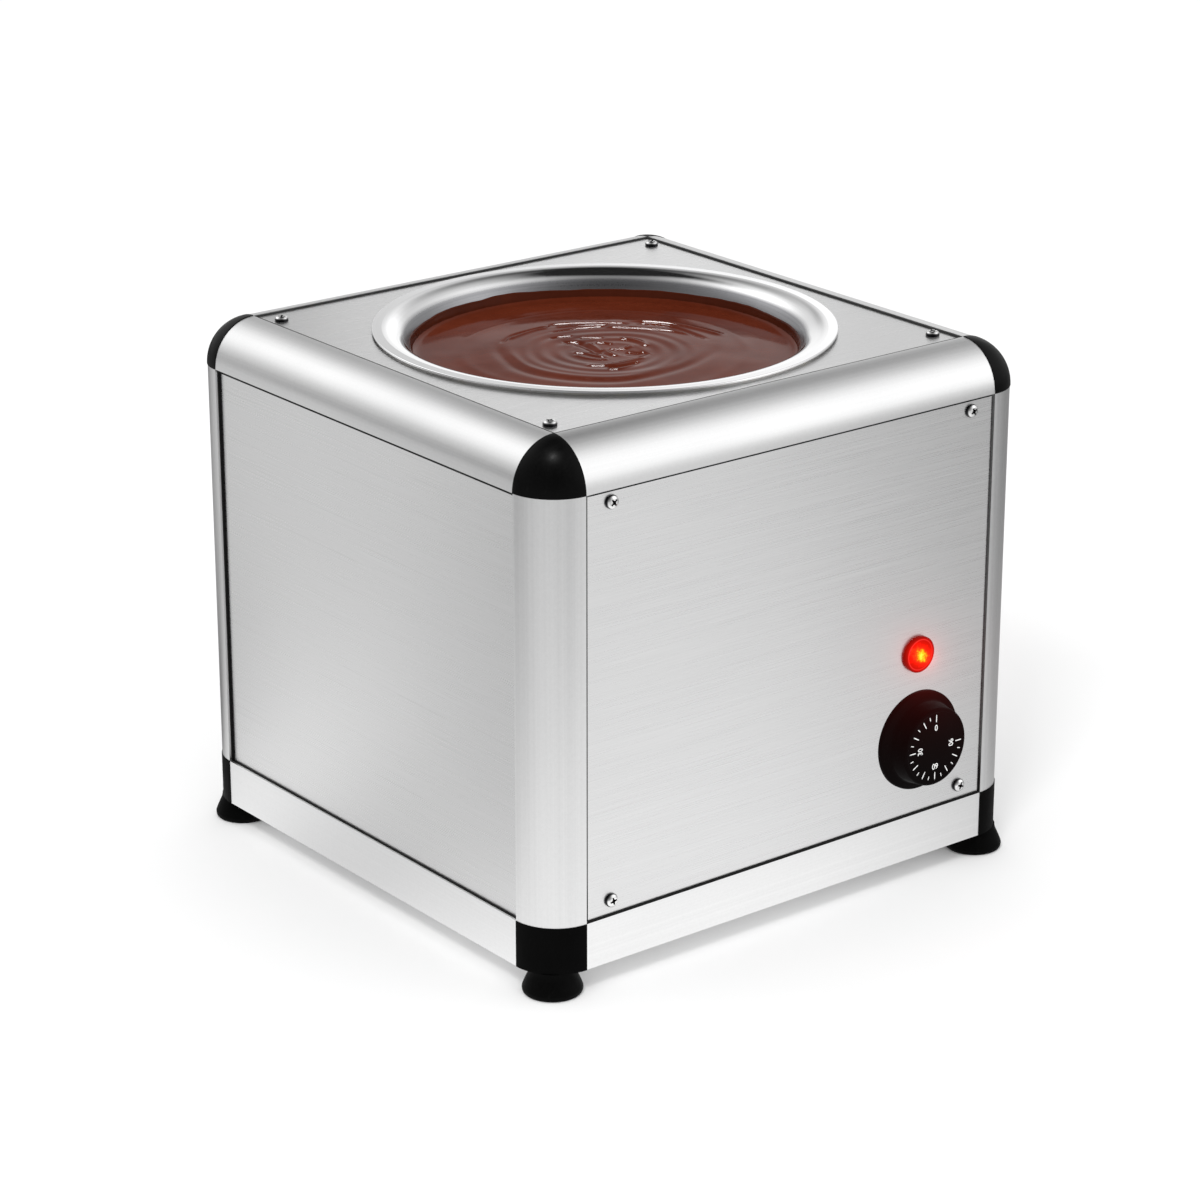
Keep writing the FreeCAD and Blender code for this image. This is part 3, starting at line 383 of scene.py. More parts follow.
HEAD = pan_head("screw_polished_painted_shade")
HEAT = rubber_heater("heater_silicone")
WOOL = wool("mineral_wool")
WELLM = annealed("well_steel")
COPPER = turned_steel("capillary_copper", (0.42, 0.19, 0.10), (0.66, 0.33, 0.19), 0.24, 0.38, 3.0, 600)
BAKE = plastic("thermostat_moulding", (0.055, 0.035, 0.022), (0.085, 0.055, 0.034), 0.40, 0.55, 700, 0.00004, 0.4, 0.5, 15.0)
CUT = plastic("cutout_moulding", 0.012, 0.022, 0.35, 0.5, 800, 0.00003, 0.4, 0.5, 16.0)
TERM = plastic("terminal_nylon", (0.62, 0.60, 0.54), (0.72, 0.70, 0.64), 0.42, 0.55, 500, 0.00003, 0.4, 0.5, 17.0)
LBODY = plastic("lamp_body_nylon", (0.03, 0.03, 0.032), (0.05, 0.05, 0.053), 0.40, 0.52, 800, 0.00003, 0.4, 0.5, 18.0)
GLAND = plastic("gland_nylon", 0.010, 0.018, 0.38, 0.50, 900, 0.00003, 0.4, 0.5, 19.0, wear=0.03)


def wires(name):
    """Silicone sleeved leads, tinted along their run."""
    k = Mat(name)
    n1 = k.noise(k.coords((9, 3, 14)), 1.0, 1.0, 0.4)
    n2 = k.noise(k.coords((900, 900, 900)), 1.0, 3.0, 0.6)
    col = k.ramp(n1, [(0.36, (0.045, 0.10, 0.36)), (0.47, (0.045, 0.10, 0.36)), (0.5, (0.16, 0.065, 0.03)), (0.62, (0.20, 0.08, 0.035))])
    k.setp(Base_Color=k.mix(k.rng(n2, 0.3, 0.7, 0.0, 0.25), col, 0.03), Roughness=k.rng(n2, 0.3, 0.7, 0.40, 0.55))
    k.bump(n2, 0.00003, 0.4)
    return k.m


WIRE = wires("lead_insulation")

LX, LY, LZ = 0.0756, -0.1362, 0.1142      # lamp, on the front panel's face


def lamp(name):
    """Lit red lens: deep red at its rim, clear red inside, the glowing element seen through the dome."""
    k = Mat(name)
    x, y, z = k.xyz()
    dx = k.math('MULTIPLY', k.math('SUBTRACT', x, LX), 1000.0)
    dz = k.math('MULTIPLY', k.math('SUBTRACT', z, LZ), 1000.0)
    dy = k.math('MULTIPLY', k.math('SUBTRACT', LY, y), 1000.0)     # how far proud of the panel, mm
    rad = k.math('SQRT', k.math('ADD', k.math('MULTIPLY', dx, dx), k.math('MULTIPLY', dz, dz)))
    nz = k.noise(k.coords((520, 520, 520), (1.3, 0, 2.1)), 1.0, 3.0, 0.6)
    nz2 = k.noise(k.coords((900, 900, 900), (4.3, 0, 0.1)), 1.0, 2.0, 0.6)
    # element: a slanting streak, upper left to lower right
    u = k.math('ADD', k.math('MULTIPLY', k.math('ADD', dx, 0.3), 0.86), k.math('MULTIPLY', k.math('SUBTRACT', dz, 0.1), -0.51))
    v = k.math('ADD', k.math('MULTIPLY', k.math('ADD', dx, 0.3), 0.51), k.math('MULTIPLY', k.math('SUBTRACT', dz, 0.1), 0.86))
    ell = k.math('SQRT', k.math('ADD', k.math('POWER', k.math('DIVIDE', u, 7.6), 2.0), k.math('POWER', k.math('DIVIDE', v, 4.6), 2.0)))
    ell = k.math('ADD', ell, k.math('MULTIPLY', k.math('SUBTRACT', nz, 0.5), 1.3))
    glow = k.ramp(ell, [(0.0, (1.0, 0.062, 0.0040)), (0.34, (1.0, 0.034, 0.0006)), (0.56, (1.0, 0.0050, 0.0003)), (0.84, (1.0, 0.0010, 0.0008)), (1.0, (1.0, 0.0015, 0.0015))])
    inside = k.rng(rad, 6.85, 7.20, 1.0, 0.0, True)
    rimc = k.ramp(k.rng(rad, 6.9, 8.7, 0.0, 1.0), [(0.0, (0.60, 0.003, 0.004)), (0.22, (0.90, 0.050, 0.045)), (0.34, (0.70, 0.012, 0.012)), (0.52, (0.40, 0.002, 0.003)), (1.0, (0.17, 0.001, 0.003))])
    col = k.mix(inside, rimc, glow)
    side = k.rng(dy, 0.4, 1.7, 0.55, 1.0)
    strength = k.math('ADD', k.math('MULTIPLY', k.rng(ell, 0.30, 1.10, 15.0, 0.36, True), inside), k.math('MULTIPLY', k.math('MULTIPLY', k.rng(rad, 6.9, 8.7, 0.85, 0.38), side), k.math('SUBTRACT', 1.0, inside)))
    k.setp(Base_Color=k.mix(k.rng(nz2, 0.3, 0.7, 0.0, 0.6), (0.060, 0.0010, 0.0012), (0.045, 0.0008, 0.0010)), Roughness=k.rng(nz2, 0.3, 0.7, 0.08, 0.16),
           Emission_Color=col, Emission_Strength=strength)
    k.b.inputs['Specular IOR Level'].default_value = 0.01
    k.bump(nz, 0.00005, 0.2)
    return k.m


LENS = lamp("lamp_red_lens")

by_node = {
    "front_panel": BR_X, "back_panel": BR_B, "left_panel": BR_L, "right_panel": BR_R, "top_panel": BR_T,
    "bottom_plate": BOTTOM, "foot_studs": ZINC, "panel_screws": HEAD, "bottom_plate_screws": SCREW,
    "thermostat_screws": SCREW, "pot": POTM, "well": WELLM, "heating_band": HEAT, "insulation_jacket": WOOL,
    "thermostat_body": BAKE, "thermostat_spindle": ZINC, "capillary_bulb": COPPER, "thermal_cutout": CUT,
    "lamp_lens": LENS, "lamp_body": LBODY, "lamp_nut": ZINC, "terminal_block": TERM, "internal_wiring": WIRE,
    "gland_body": GLAND, "gland_locknut": ZINC, "gland_dome_nut": GLAND, "gland_seal": GASK, "knob": KNOBM,
    "front_panel_gasket": GASKF, "back_panel_gasket": GASKF, "top_panel_gasket": GASKT,
    "left_panel_trim": TRIM, "right_panel_trim": TRIM,
}
for n in NODES:
    if n.startswith("corner_post"):
        by_node[n] = SAT['Z']
    elif n in ("top_rail_front", "top_rail_back"):
        by_node[n] = SAT['X']
    elif n in ("top_rail_left", "top_rail_right"):
        by_node[n] = SAT['Y']
    elif n in ("base_rail_front", "base_rail_back"):
        by_node[n] = BASE['X']
    elif n in ("base_rail_left", "base_rail_right"):
        by_node[n] = BASE['Y']
    elif n.startswith("top_corner_cap"):
        by_node[n] = CAP
    elif n.startswith("base_corner_cap"):
        by_node[n] = BCAP
    elif n.startswith("foot_") and n != "foot_studs":
        by_node[n] = RUB


def dress(ob, mat):
    ob.data.materials.clear()
    ob.data.materials.append(mat)
    for p in ob.data.polygons:
        p.material_index = 0


for n, ob in NODES.items():
    if n in by_node:
        dress(ob, by_node[n])
NODES["knob"].visible_glossy = False


# --------------------------------------------------------------------- camera
CAM_LOC = Vector((-1.02011, -1.29317, 0.72498))
YAW, PITCH = math.radians(38.1888), math.radians(20.2220)
cam_data = bpy.data.cameras.new("camera")
cam = bpy.data.objects.new("camera", cam_data)
scene.collection.objects.link(cam)
cam.location = CAM_LOC
cam.rotation_euler = (math.pi / 2 - PITCH, 0.0, -YAW)
cam_data.sensor_width = 36.0
cam_data.lens = 111.061
cam_data.clip_start = 0.01
cam_data.clip_end = 60.0
scene.camera = cam

# ------------------------------------------------------------ melted chocolate
POT_IN, BEND_R, BEND_Z, BEND = 0.0895, 0.1030, 0.2407, 0.0135    # wall radius; centre and radius of the bend above it
CHOC_R, CHOC_Z = 0.08940, 0.2415


def smooth01(t):
    t = max(0.0, min(1.0, t))
    return t * t * (3 - 2 * t)


# ridges (+) and furrows (-) of the stirred surface: half width, height and the line they follow, in mm from the pot's axis
STROKES = (
    (2.0, 0.48, ((37.9, 31.0), (48.1, 19.4), (52.9, 9.7), (56.1, -5.5), (57.5, -15.9))),
    (1.6, 0.40, ((21.7, 27.9), (29.6, 20.6), (36.1, 12.4), (42.2, 4.4), (45.3, -6.3))),
    (1.3, -0.50, ((38.1, 23.4), (45.7, 13.3), (47.8, 2.8), (46.8, -16.7))),
    (1.5, 0.34, ((-27.5, 39.6), (-18.0, 42.5), (-7.3, 44.6), (0.1, 43.9))),
    (1.0, -0.35, ((-32.4, 37.0), (-19.5, 44.7), (2.1, 46.5))),
    (1.3, -0.34, ((2.7, 48.1), (13.5, 42.8), (25.2, 34.7), (35.1, 25.2))),
    (1.1, 0.24, ((2.8, 41.8), (16.7, 35.8), (26.9, 29.0))),
    (1.0, -0.24, ((-3.7, 36.5), (11.0, 33.2), (23.7, 27.4))),
    (3.2, -0.26, ((-31.6, 39.8), (-39.2, 29.5), (-45.8, 16.7), (-51.2, -0.7), (-48.7, -19.1), (-38.4, -34.8), (-23.3, -45.7),
                  (-3.8, -47.6), (17.0, -44.5), (34.9, -34.8), (46.2, -23.4))),
    (2.6, 0.17, ((-33.9, 29.4), (-41.5, 15.3), (-45.6, -1.1), (-42.5, -17.2), (-34.0, -30.6), (-20.3, -40.4), (-2.3, -42.0), (17.3, -38.9))),
    (1.5, 0.36, ((-15.4, 4.8), (-11.7, 0.9), (-10.6, -4.6), (-7.8, -11.8))),
    (1.4, 0.28, ((-16.9, 2.0), (-16.0, -6.1), (-13.0, -11.5), (-9.0, -13.4))),
    (1.6, 0.42, ((-0.4, 14.3), (-0.9, 8.5), (-3.1, 1.1), (-1.8, -1.9), (-3.0, -8.0), (-1.7, -12.6))),
    (1.4, 0.34, ((3.8, 11.4), (6.7, 8.1), (8.0, 3.6))),
    (1.5, 0.37, ((1.7, -0.6), (4.9, -3.5), (8.5, -5.1), (13.3, -3.7))),
    (1.6, 0.35, ((16.2, 9.2), (19.1, 4.4), (19.6, -3.5), (17.6, -9.1))),
    (2.6, -0.58, ((-10.0, 18.8), (-4.5, 16.5), (-3.9, 7.8), (-5.5, -5.0))),
    (2.6, -0.44, ((3.7, -10.3), (6.8, -15.7), (12.0, -16.8))),
    (1.5, 0.30, ((-24.3, -15.2), (-18.7, -20.3), (-9.9, -21.4), (-0.6, -21.8), (6.3, -22.3))),
    (1.4, -0.45, ((-18.2, -24.2), (-10.8, -26.2), (-0.6, -26.3))),
    (1.2, 0.26, ((-20.2, -27.5), (-15.2, -29.5), (-5.9, -28.5))),
    (1.2, -0.34, ((-10.5, 28.4), (-4.8, 28.0), (1.2, 25.3))),
    (1.1, -0.30, ((1.5, 21.0), (6.5, 18.0), (11.0, 13.5))),
)


def flowing(pts, per=7):
    """Catmull-Rom curve through the points."""
    q = [pts[0]] + list(pts) + [pts[-1]]
    out = []
    for i in range(1, len(q) - 2):
        for j in range(per):
            t = j / per
            out.append(tuple(0.5 * ((2 * q[i][c]) + (-q[i - 1][c] + q[i + 1][c]) * t + (2 * q[i - 1][c] - 5 * q[i][c] + 4 * q[i + 1][c] - q[i + 2][c]) * t * t
                                    + (-q[i - 1][c] + 3 * q[i][c] - 3 * q[i + 1][c] + q[i + 2][c]) * t ** 3) for c in (0, 1)))
    out.append(tuple(pts[-1]))
    return out


CURVES = []
for w, a, pts in STROKES:
    line = flowing(pts)
    xs, ys = [q[0] for q in line], [q[1] for q in line]
    m = 3.2 * w
    CURVES.append((w, a, line, (min(xs) - m, max(xs) + m, min(ys) - m, max(ys) + m)))


def choc_h(x, y):
    """Height of the stirred surface above its still level, metres."""
    x, y = x * 1000, y * 1000
    wob = noise.noise(Vector((x * 0.03, y * 0.03, 3.3)))
    wob2 = noise.noise(Vector((x * 0.03, y * 0.03, 9.1)))
    px, py = x + 0.9 * wob, y + 0.9 * wob2
    h = 0.0
    for w, a, line, (x0, x1, y0, y1) in CURVES:
        if px < x0 or px > x1 or py < y0 or py > y1:
            continue
        best, bt = 1e9, 0.0
        n = len(line) - 1
        for i in range(n):
            ax, ay = line[i]
            bx, by = line[i + 1]
            ex, ey = bx - ax, by - ay
            t = ((px - ax) * ex + (py - ay) * ey) / (ex * ex + ey * ey)
            t = 0.0 if t < 0 else (1.0 if t > 1 else t)
            dx, dy = px - ax - ex * t, py - ay - ey * t
            d = dx * dx + dy * dy
            if d < best:
                best, bt = d, (i + t) / n
        taper = smooth01(min(bt, 1 - bt) / 0.16)
        h += 1.35 * a * (0.12 + 0.88 * taper) * math.exp(-best / (w * w))
    # shallow bowl of the swirl, faint rings between its ridges, long low swells
    rho = math.hypot(x + 3.0, y + 5.0) + 2.2 * wob
    phi = math.atan2(y + 5.0, x + 3.0)
    h -= 0.55 * (1 - smooth01(rho / 44.0))
    h += 1.15 * (1 - smooth01((math.hypot(x, y) - 38.0) / 46.0))
    h += 0.075 * math.sin(rho * 0.82 + phi) * smooth01((44.0 - rho) / 10.0) * smooth01((rho - 12.0) / 8.0)
    h += 0.16 * noise.noise(Vector((x * 0.035, y * 0.05, 7.7))) + 0.03 * noise.noise(Vector((x * 0.09, y * 0.09, 1.2)))
    rw = math.hypot(x, y)
    h += 0.10 * math.exp(-((rw + 1.8 * wob - 66.0) / 3.0) ** 2)
    h *= 1.0 - 0.9 * smooth01((rw - 74.0) / 12.0)
    h -= 0.25
    return h / 1000.0


def build_chocolate():
    bm = bmesh.new()
    NA = 400
    us = [i / 205.0 * 0.968 for i in range(1, 206)] + [0.968 + 0.032 * (i / 26.0) for i in range(1, 27)]
    NR = len(us)
    rings = []
    ctr = bm.verts.new((0.0, 0.0, CHOC_Z + choc_h(0.0, 0.0)))
    for u in us:
        ring = []
        for j in range(NA):
            th = 2 * math.pi * j / NA
            rw = CHOC_R * u
            x, y = rw * math.cos(th), rw * math.sin(th)
            z = min(CHOC_Z + choc_h(x, y), CHOC_Z + 0.0022)
            # meniscus climbing the wall
            z += (0.0014 + 0.0003 * noise.noise(Vector((math.cos(th) * 2.2, math.sin(th) * 2.2, 5.0)))) * math.exp(-(CHOC_R - rw) / 0.0015)
            ring.append(bm.verts.new((x, y, z)))
        rings.append(ring)
    for j in range(NA):
        bm.faces.new((ctr, rings[0][j], rings[0][(j + 1) % NA]))
    for i in range(NR - 1):
        a, b = rings[i], rings[i + 1]
        for j in range(NA):
            bm.faces.new((a[j], b[j], b[(j + 1) % NA], a[(j + 1) % NA]))
    # down the wall, round the pot's lower bend and across its floor
    prof = [(CHOC_R, 0.2398), (CHOC_R, 0.200), (CHOC_R, 0.160), (CHOC_R, 0.1272)]
    for k in range(1, 9):
        t = math.pi / 2 * k / 8
        prof.append((CHOC_R - 0.01185 + 0.01185 * math.cos(t), 0.1272 - 0.01185 * math.sin(t)))
    prev = rings[-1]
    for (r, z) in prof:
        cur = [bm.verts.new((r * math.cos(2 * math.pi * j / NA), r * math.sin(2 * math.pi * j / NA), z)) for j in range(NA)]
        for j in range(NA):
            bm.faces.new((prev[j], cur[j], cur[(j + 1) % NA], prev[(j + 1) % NA]))
        prev = cur
    bot = bm.verts.new((0, 0, prof[-1][1]))
    for j in range(NA):
        bm.faces.new((bot, prev[(j + 1) % NA], prev[j]))
    bm.normal_update()
    me = bpy.data.meshes.new("chocolate_pool")
    bm.to_mesh(me)
    bm.free()
    for p in me.polygons:
        p.use_smooth = True
    ob = bpy.data.objects.new("chocolate_pool", me)
    scene.collection.objects.link(ob)
    return ob


def wall_r(z):
    """Inner radius of the pot at height z."""
    if z <= BEND_Z:
        return POT_IN
    return BEND_R - math.sqrt(BEND ** 2 - (z - BEND_Z) ** 2)


def film_top(th):
    """Upper edge of the chocolate left on the wall."""
    c, s = math.cos(th), math.sin(th)
    n1 = noise.noise(Vector((c * 1.3 + 2.0, s * 1.3, 0.7)))
    n2 = noise.noise(Vector((c * 4.0, s * 4.0, 4.1)))
    n3 = noise.noise(Vector((c * 13.0, s * 13.0, 9.4)))
    z = 0.2460 + 0.0010 * n1 + 0.0007 * n2 + 0.00025 * n3
    return min(z, 0.2469)


def build_film():
    bm = bmesh.new()
    NA, NZ, NB = 540, 26, 8
    grid = []
    z0 = 0.2409
    for j in range(NA):
        th = 2 * math.pi * j / NA
        c, s = math.cos(th), math.sin(th)
        zt = film_top(th)
        col = []
        for i in range(NZ + 1):
            u = i / NZ
            z = z0 + (zt - z0) * u
            thick = 0.00046 * (1 - 0.35 * u)
            thick += 0.00010 * noise.noise(Vector((c * 22, s * 22, z * 160))) + 0.00007 * noise.noise(Vector((c * 60, s * 60, z * 90)))
            bead = 0.00022 * math.exp(-((zt - z) / 0.0007) ** 2)
            thick = max(0.00006, thick + bead)
            if i == NZ:
                thick = 0.00001
            elif i == NZ - 1:
                thick *= 0.72
            r = wall_r(z) - 0.00006 - thick
            col.append((r * c, r * s, z))
        # back of the film, against the wall
        for i in range(NB + 1):
            z = zt + (z0 - zt) * i / NB
            r = wall_r(z) - 0.00004
            col.append((r * c, r * s, z))
        grid.append([bm.verts.new(v) for v in col])
    n = len(grid[0])
    for j in range(NA):
        a, b = grid[j], grid[(j + 1) % NA]
        for i in range(n):
            k = (i + 1) % n
            bm.faces.new((a[i], a[k], b[k], b[i]))
    bmesh.ops.recalc_face_normals(bm, faces=bm.faces)
    me = bpy.data.meshes.new("chocolate_wall_film")
    bm.to_mesh(me)
    bm.free()
    for p in me.polygons:
        p.use_smooth = True
    ob = bpy.data.objects.new("chocolate_wall_film", me)
    scene.collection.objects.link(ob)
    return ob


CHOC = chocolate("chocolate_melted", (0.060, 0.0098, 0.0038), (0.080, 0.0138, 0.0055), (0.102, 0.0190, 0.0078))
# the wall film is the same chocolate in a darker colour: painted shade from the pot's wall
FILM_PAINTED_SHADE = chocolate("chocolate_film", (0.036, 0.0065, 0.0028), (0.050, 0.0095, 0.0040), (0.066, 0.0130, 0.0055), 0.14, 0.24, 0.03)
pool = build_chocolate()
dress(pool, CHOC)
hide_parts("melted_chocolate")
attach(pool, "pot_assembly")
film = build_film()
dress(film, FILM_PAINTED_SHADE)
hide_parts("chocolate_film")
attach(film, "pot_assembly")


# ------------------------------------------------------------------ dial marks
def print_white(name):
    k = Mat(name)
    g = k.noise(k.coords((1900, 1900, 1900)), 1.0, 3.0, 0.6)
    w = k.noise(k.coords((420, 420, 420)), 1.0, 3.0, 0.6)
    col = k.ramp(k.math('ADD', k.math('MULTIPLY', g, 0.4), k.math('MULTIPLY', w, 0.6)), [(0.3, (0.66, 0.66, 0.65)), (0.6, (0.86, 0.86, 0.85))])
    k.setp(Base_Color=col, Roughness=k.rng(g, 0.3, 0.7, 0.45, 0.6))
    k.bump(g, 0.00001, 0.4)
    return k.m


INK = print_white("dial_ink_white")
KX, KZ = 0.0756, 0.0723
FACE = -0.1362 - 0.01388          # dial face, sunk a little inside its edge
INK_T = 0.00008


def strip(bm, pts_a, pts_b, y0, y1):
    """A closed thin bar between two rows of points on the dial face."""
    n = len(pts_a)
    f0 = [bm.verts.new((x, y0, z)) for x, z in pts_a] + [bm.verts.new((x, y0, z)) for x, z in reversed(pts_b)]
    f1 = [bm.verts.new((x, y1, z)) for x, z in pts_a] + [bm.verts.new((x, y1, z)) for x, z in reversed(pts_b)]
    m = len(f0)
    bm.faces.new(f1)
    bm.faces.new(list(reversed(f0)))
    for i in range(m):
        j = (i + 1) % m
        bm.faces.new((f0[i], f0[j], f1[j], f1[i]))


def build_ticks():
    bm = bmesh.new()
    for i in range(19):
        units = i * 5
        a = math.pi / 2 + math.radians(units * 3.0)      # 0 at the top, rising anticlockwise seen from the front
        ln = 0.0036 if units % 10 == 0 else 0.0018
        w = 0.00025 if units % 10 == 0 else 0.00021
        ro, ri = 0.0160, 0.0160 - ln
        ca, sa = math.cos(a), math.sin(a)
        # seen from the front (-Y), +X is to the right
        left, right = [], []
        for t in range(7):
            u = t / 6
            r = ro + (ri - ro) * u
            ww = w * (1 - 0.35 * (abs(2 * u - 1) ** 6))
            left.append((KX + r * ca - ww * sa, KZ + r * sa + ww * ca))
            right.append((KX + r * ca + ww * sa, KZ + r * sa - ww * ca))
        strip(bm, left, right, FACE, FACE - INK_T)
    bmesh.ops.recalc_face_normals(bm, faces=bm.faces)
    me = bpy.data.meshes.new("dial_ticks")
    bm.to_mesh(me)
    bm.free()
    ob = bpy.data.objects.new("dial_ticks", me)
    scene.collection.objects.link(ob)
    return ob


def build_numerals():
    bm = bmesh.new()
    for text, units in (("0", 0), ("30", 30), ("60", 60), ("90", 90)):
        cu = bpy.data.curves.new("num", 'FONT')
        cu.body = text
        cu.size = 1.0
        cu.align_x = 'CENTER'
        cu.align_y = 'CENTER'
        cu.extrude = 0.02
        cu.offset = 0.012
        cu.resolution_u = 6
        cu.space_character = 0.98
        tmp = bpy.data.objects.new("num", cu)
        scene.collection.objects.link(tmp)
        dg = bpy.context.evaluated_depsgraph_get()
        ev = tmp.evaluated_get(dg)
        me = ev.to_mesh()
        xs = [v.co.x for v in me.vertices]
        ys = [v.co.y for v in me.vertices]
        cx, cy = (max(xs) + min(xs)) / 2, (max(ys) + min(ys)) / 2
        hgt = max(ys) - min(ys)
        zs = [v.co.z for v in me.vertices]
        z0, z1 = min(zs), max(zs)
        s = 0.0029 / hgt
        a = math.radians(units * 3.0)
        ca, sa = math.cos(a), math.sin(a)
        base = len(bm.verts)
        vs = []
        for v in me.vertices:
            lx, lz = (v.co.x - cx) * s * 0.94, (v.co.y - cy) * s + 0.0096
            x = lx * ca - lz * sa
            z = lx * sa + lz * ca
            t = (v.co.z - z0) / (z1 - z0)
            vs.append(bm.verts.new((KX + x, FACE - INK_T * t, KZ + z)))
        for p in me.polygons:
            try:
                bm.faces.new([vs[i] for i in p.vertices])
            except ValueError:
                pass
        ev.to_mesh_clear()
        bpy.data.objects.remove(tmp)
    bmesh.ops.remove_doubles(bm, verts=bm.verts, dist=1e-7)
    bmesh.ops.recalc_face_normals(bm, faces=bm.faces)
    me = bpy.data.meshes.new("dial_numerals")
    bm.to_mesh(me)
    bm.free()
    ob = bpy.data.objects.new("dial_numerals", me)
    scene.collection.objects.link(ob)
    return ob


for ob in (build_ticks(), build_numerals()):
    dress(ob, INK)
    ob.visible_glossy = False
    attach(ob, "control_knob")

# --------------------------------------------------------------- floor, lights
def floor_mat():
    k = Mat("floor_white")
    n1 = k.noise(k.coords((3, 3, 3)), 1.0, 2.0, 0.5)
    k.setp(Base_Color=k.ramp(n1, [(0.3, (0.90, 0.90, 0.90)), (0.7, (0.915, 0.915, 0.915))]), Roughness=0.9)
    k.b.inputs['Specular IOR Level'].default_value = 0.0
    return k.m


def flat_sheet(name, half, z):
    b = bmesh.new()
    vs = [b.verts.new(v) for v in ((-half, -half, z), (half, -half, z), (half, half, z), (-half, half, z))]
    b.faces.new(vs)
    me = bpy.data.meshes.new(name)
    b.to_mesh(me)
    b.free()
    ob = bpy.data.objects.new(name, me)
    scene.collection.objects.link(ob)
    return ob


floor = flat_sheet("floor", 9.0, 0.0)
dress(floor, floor_mat())


def direction(az, el):
    a, e = math.radians(az), math.radians(el)
    return (math.cos(e) * math.cos(a), math.cos(e) * math.sin(a), math.sin(e))


def lobes(k, vec, base, spots):
    """base plus soft round spots at (azimuth, elevation, half width in degrees, amount)."""
    total = base
    for az, el, wd, amt in spots:
        d = k.n.new('ShaderNodeVectorMath')
        d.operation = 'DOT_PRODUCT'
        k.link(vec, d.inputs[0])
        d.inputs[1].default_value = direction(az, el)
        kk = math.log(2.0) / (1.0 - math.cos(math.radians(wd)))
        e = k.math('EXPONENT', k.math('MULTIPLY', k.math('SUBTRACT', d.outputs['Value'], 1.0), kk))
        total = k.math('ADD', k.math('MULTIPLY', e, amt), total)
    return k.math('MAXIMUM', total, 0.02)


# what polished metal sees of the floor: bright close to the object, greyer further off, darker to the right and behind
FLOOR_NEAR = (0.86, [(-90, 0, 60, 0.40), (180, 0, 40, 0.14), (0, 0, 45, -0.42), (90, 0, 45, -0.30), (114, 0, 12, -0.66), (138, 0, 11, 0.36), (172, 0, 16, -0.14), (-30, 0, 18, -0.25), (-140, 0, 16, 0.12)])
FLOOR_FAR = (0.58, [(-62, 0, 16, 0.46), (-46, 0, 9, -0.20), (-140, 0, 36, 0.24), (0, 0, 40, -0.32), (84, 0, 18, -0.32), (72, 0, 16, -0.22), (131, 0, 9, 0.44), (151, 0, 12, -0.26)])


def card_mat():
    k = Mat("reflected_floor")
    x, y, z = k.xyz()
    rad = k.math('SQRT', k.math('ADD', k.math('MULTIPLY', x, x), k.math('MULTIPLY', y, y)))
    nrm = k.n.new('ShaderNodeVectorMath')
    nrm.operation = 'NORMALIZE'
    k.link(k.tc.outputs['Object'], nrm.inputs[0])
    near = lobes(k, nrm.outputs[0], FLOOR_NEAR[0], FLOOR_NEAR[1])
    far = lobes(k, nrm.outputs[0], FLOOR_FAR[0], FLOOR_FAR[1])
    t = k.rng(rad, 0.20, 0.80, 0.0, 1.0, True)
    v = k.math('ADD', k.math('MULTIPLY', near, k.math('SUBTRACT', 1.0, t)), k.math('MULTIPLY', far, t))
    em = k.n.new('ShaderNodeEmission')
    k.link(v, em.inputs['Strength'])
    k.n.remove(k.b)
    k.link(em.outputs[0], k.out.inputs[0])
    return k.m


card = flat_sheet("floor_reflection_card", 6.0, 0.0004)
card.data.materials.append(card_mat())
for flag in ("visible_camera", "visible_diffuse", "visible_shadow", "visible_transmission", "visible_volume_scatter"):
    setattr(card, flag, False)

world = bpy.data.worlds.new("studio")
scene.world = world
world.use_nodes = True


class WorldNodes(Mat):
    def __init__(self, tree):
        self.t = tree
        self.n = tree.nodes
        self.n.clear()


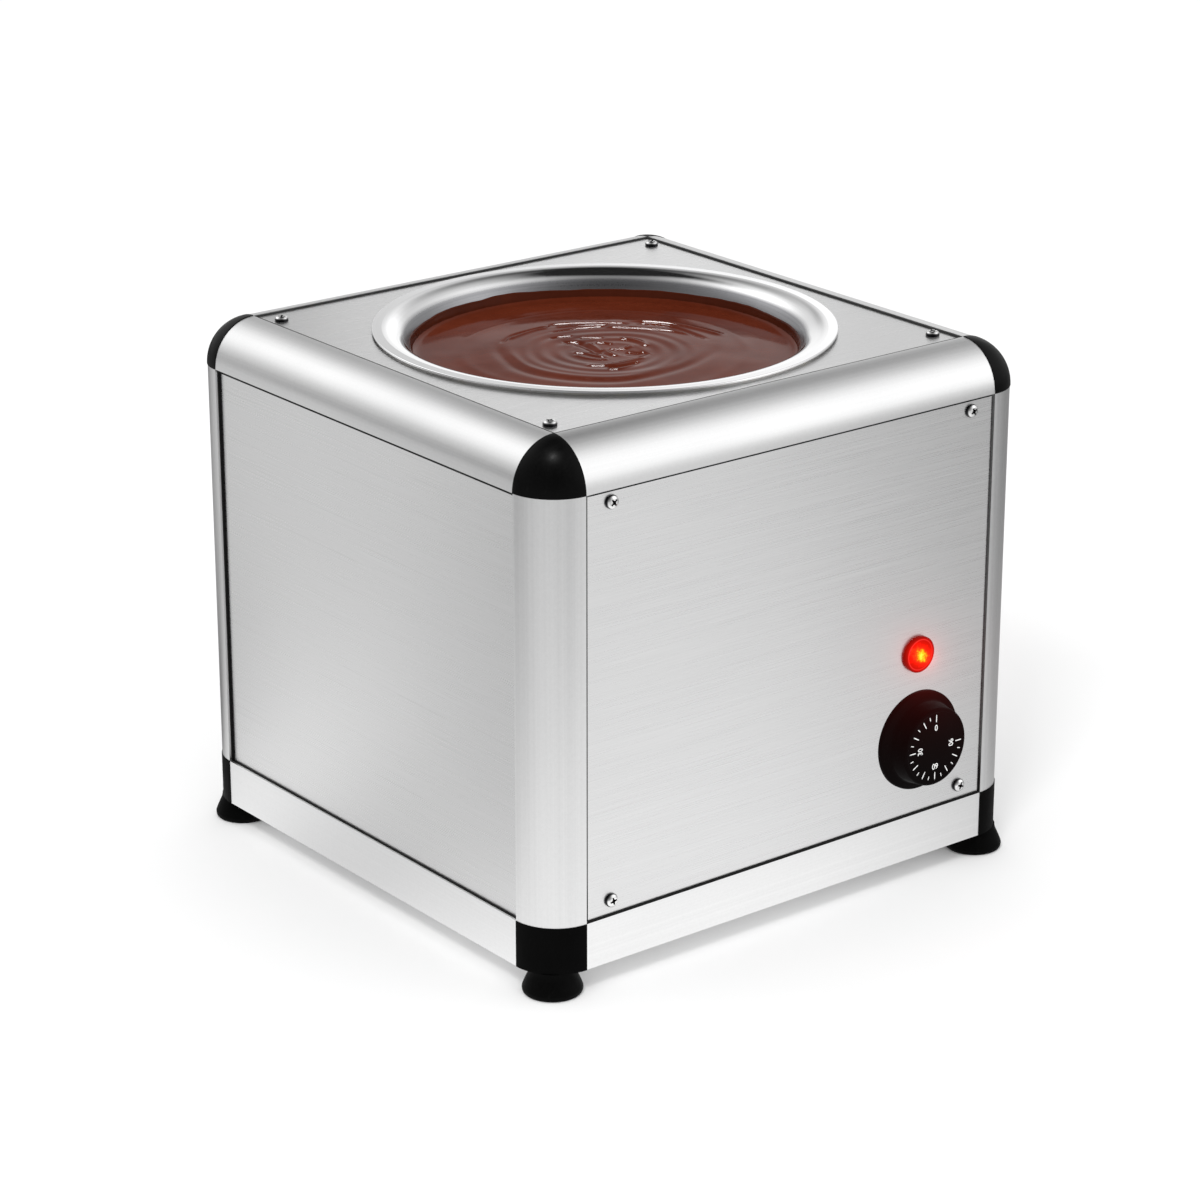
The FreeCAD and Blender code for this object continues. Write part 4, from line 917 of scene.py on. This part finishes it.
wk = WorldNodes(world.node_tree)
wo = wk.n.new('ShaderNodeOutputWorld')
wb = wk.n.new('ShaderNodeBackground')
wk.link(wb.outputs[0], wo.inputs[0])
wc = wk.n.new('ShaderNodeTexCoord')
lp = wk.n.new('ShaderNodeLightPath')
SKY = (0.84, [(137, 4, 13, -0.74), (-40, 34, 23, 1.55), (110, 38, 20, 1.52), (43, 14, 8, 0.58), (54, 3, 14, 0.36), (57, 19, 5, -0.40), (-54, 12, 9, 1.10),
              (52, 74, 14, -1.25), (52, 60, 8, -0.50), (90, 58, 9, -0.7), (-128, 46, 40, -0.66), (52, 42, 12, -0.80)])
sky = lobes(wk, wc.outputs['Generated'], SKY[0], SKY[1])
strength = wk.math('ADD', wk.math('MULTIPLY', sky, lp.outputs['Is Glossy Ray']),
                   wk.math('MULTIPLY', 1.36, wk.math('SUBTRACT', 1.0, lp.outputs['Is Glossy Ray'])))
wk.link(strength, wb.inputs[1])


def area(name, loc, target, size, power, size_y=None):
    la = bpy.data.lights.new(name, 'AREA')
    la.energy = power
    la.size = size
    if size_y:
        la.shape = 'RECTANGLE'
        la.size_y = size_y
    ob = bpy.data.objects.new(name, la)
    scene.collection.objects.link(ob)
    ob.location = loc
    d = Vector(target) - Vector(loc)
    ob.rotation_euler = d.to_track_quat('-Z', 'Y').to_euler()
    return ob


area("key", (-1.15, -0.95, 1.55), (0, 0, 0.2), 0.45, 13).visible_glossy = False


def only_on(light, name, obs):
    """Keep a small light to a few receivers."""
    c = bpy.data.collections.new(name)
    for o in obs:
        c.objects.link(o)
    light.light_linking.receiver_collection = c


# small lights for the glints on the stirred surface and on the black corner balls
only_on(area("chocolate_strip", (1.00, 1.27, 1.66), (0, 0, 0.24), 0.36, 9, 0.12), "chocolate_glints", [pool])
only_on(area("top_soft", (1.14, 1.48, 1.00), (0, 0, 0.25), 0.50, 0.55), "top_sheen", [NODES["top_panel"]])
only_on(area("cap_soft", (-0.42, -0.40, 2.05), (-0.118, -0.115, 0.231), 0.26, 16), "cap_glints", [o for n, o in NODES.items() if n.startswith("top_corner_cap")])

# soft bloom round the lit lamp, as a camera sees it
scene.use_nodes = True
ct = scene.node_tree
ct.nodes.clear()
layers = ct.nodes.new('CompositorNodeRLayers')
bloom = ct.nodes.new('CompositorNodeGlare')
bloom.glare_type = 'BLOOM'
bloom.inputs['Threshold'].default_value = 1.9
bloom.inputs['Smoothness'].default_value = 0.1
bloom.inputs['Clamp'].default_value = True
bloom.inputs['Maximum'].default_value = 24.0
bloom.inputs['Strength'].default_value = 0.9
bloom.inputs['Size'].default_value = 0.20
comp = ct.nodes.new('CompositorNodeComposite')
ct.links.new(layers.outputs['Image'], bloom.inputs['Image'])
ct.links.new(bloom.outputs['Image'], comp.inputs['Image'])
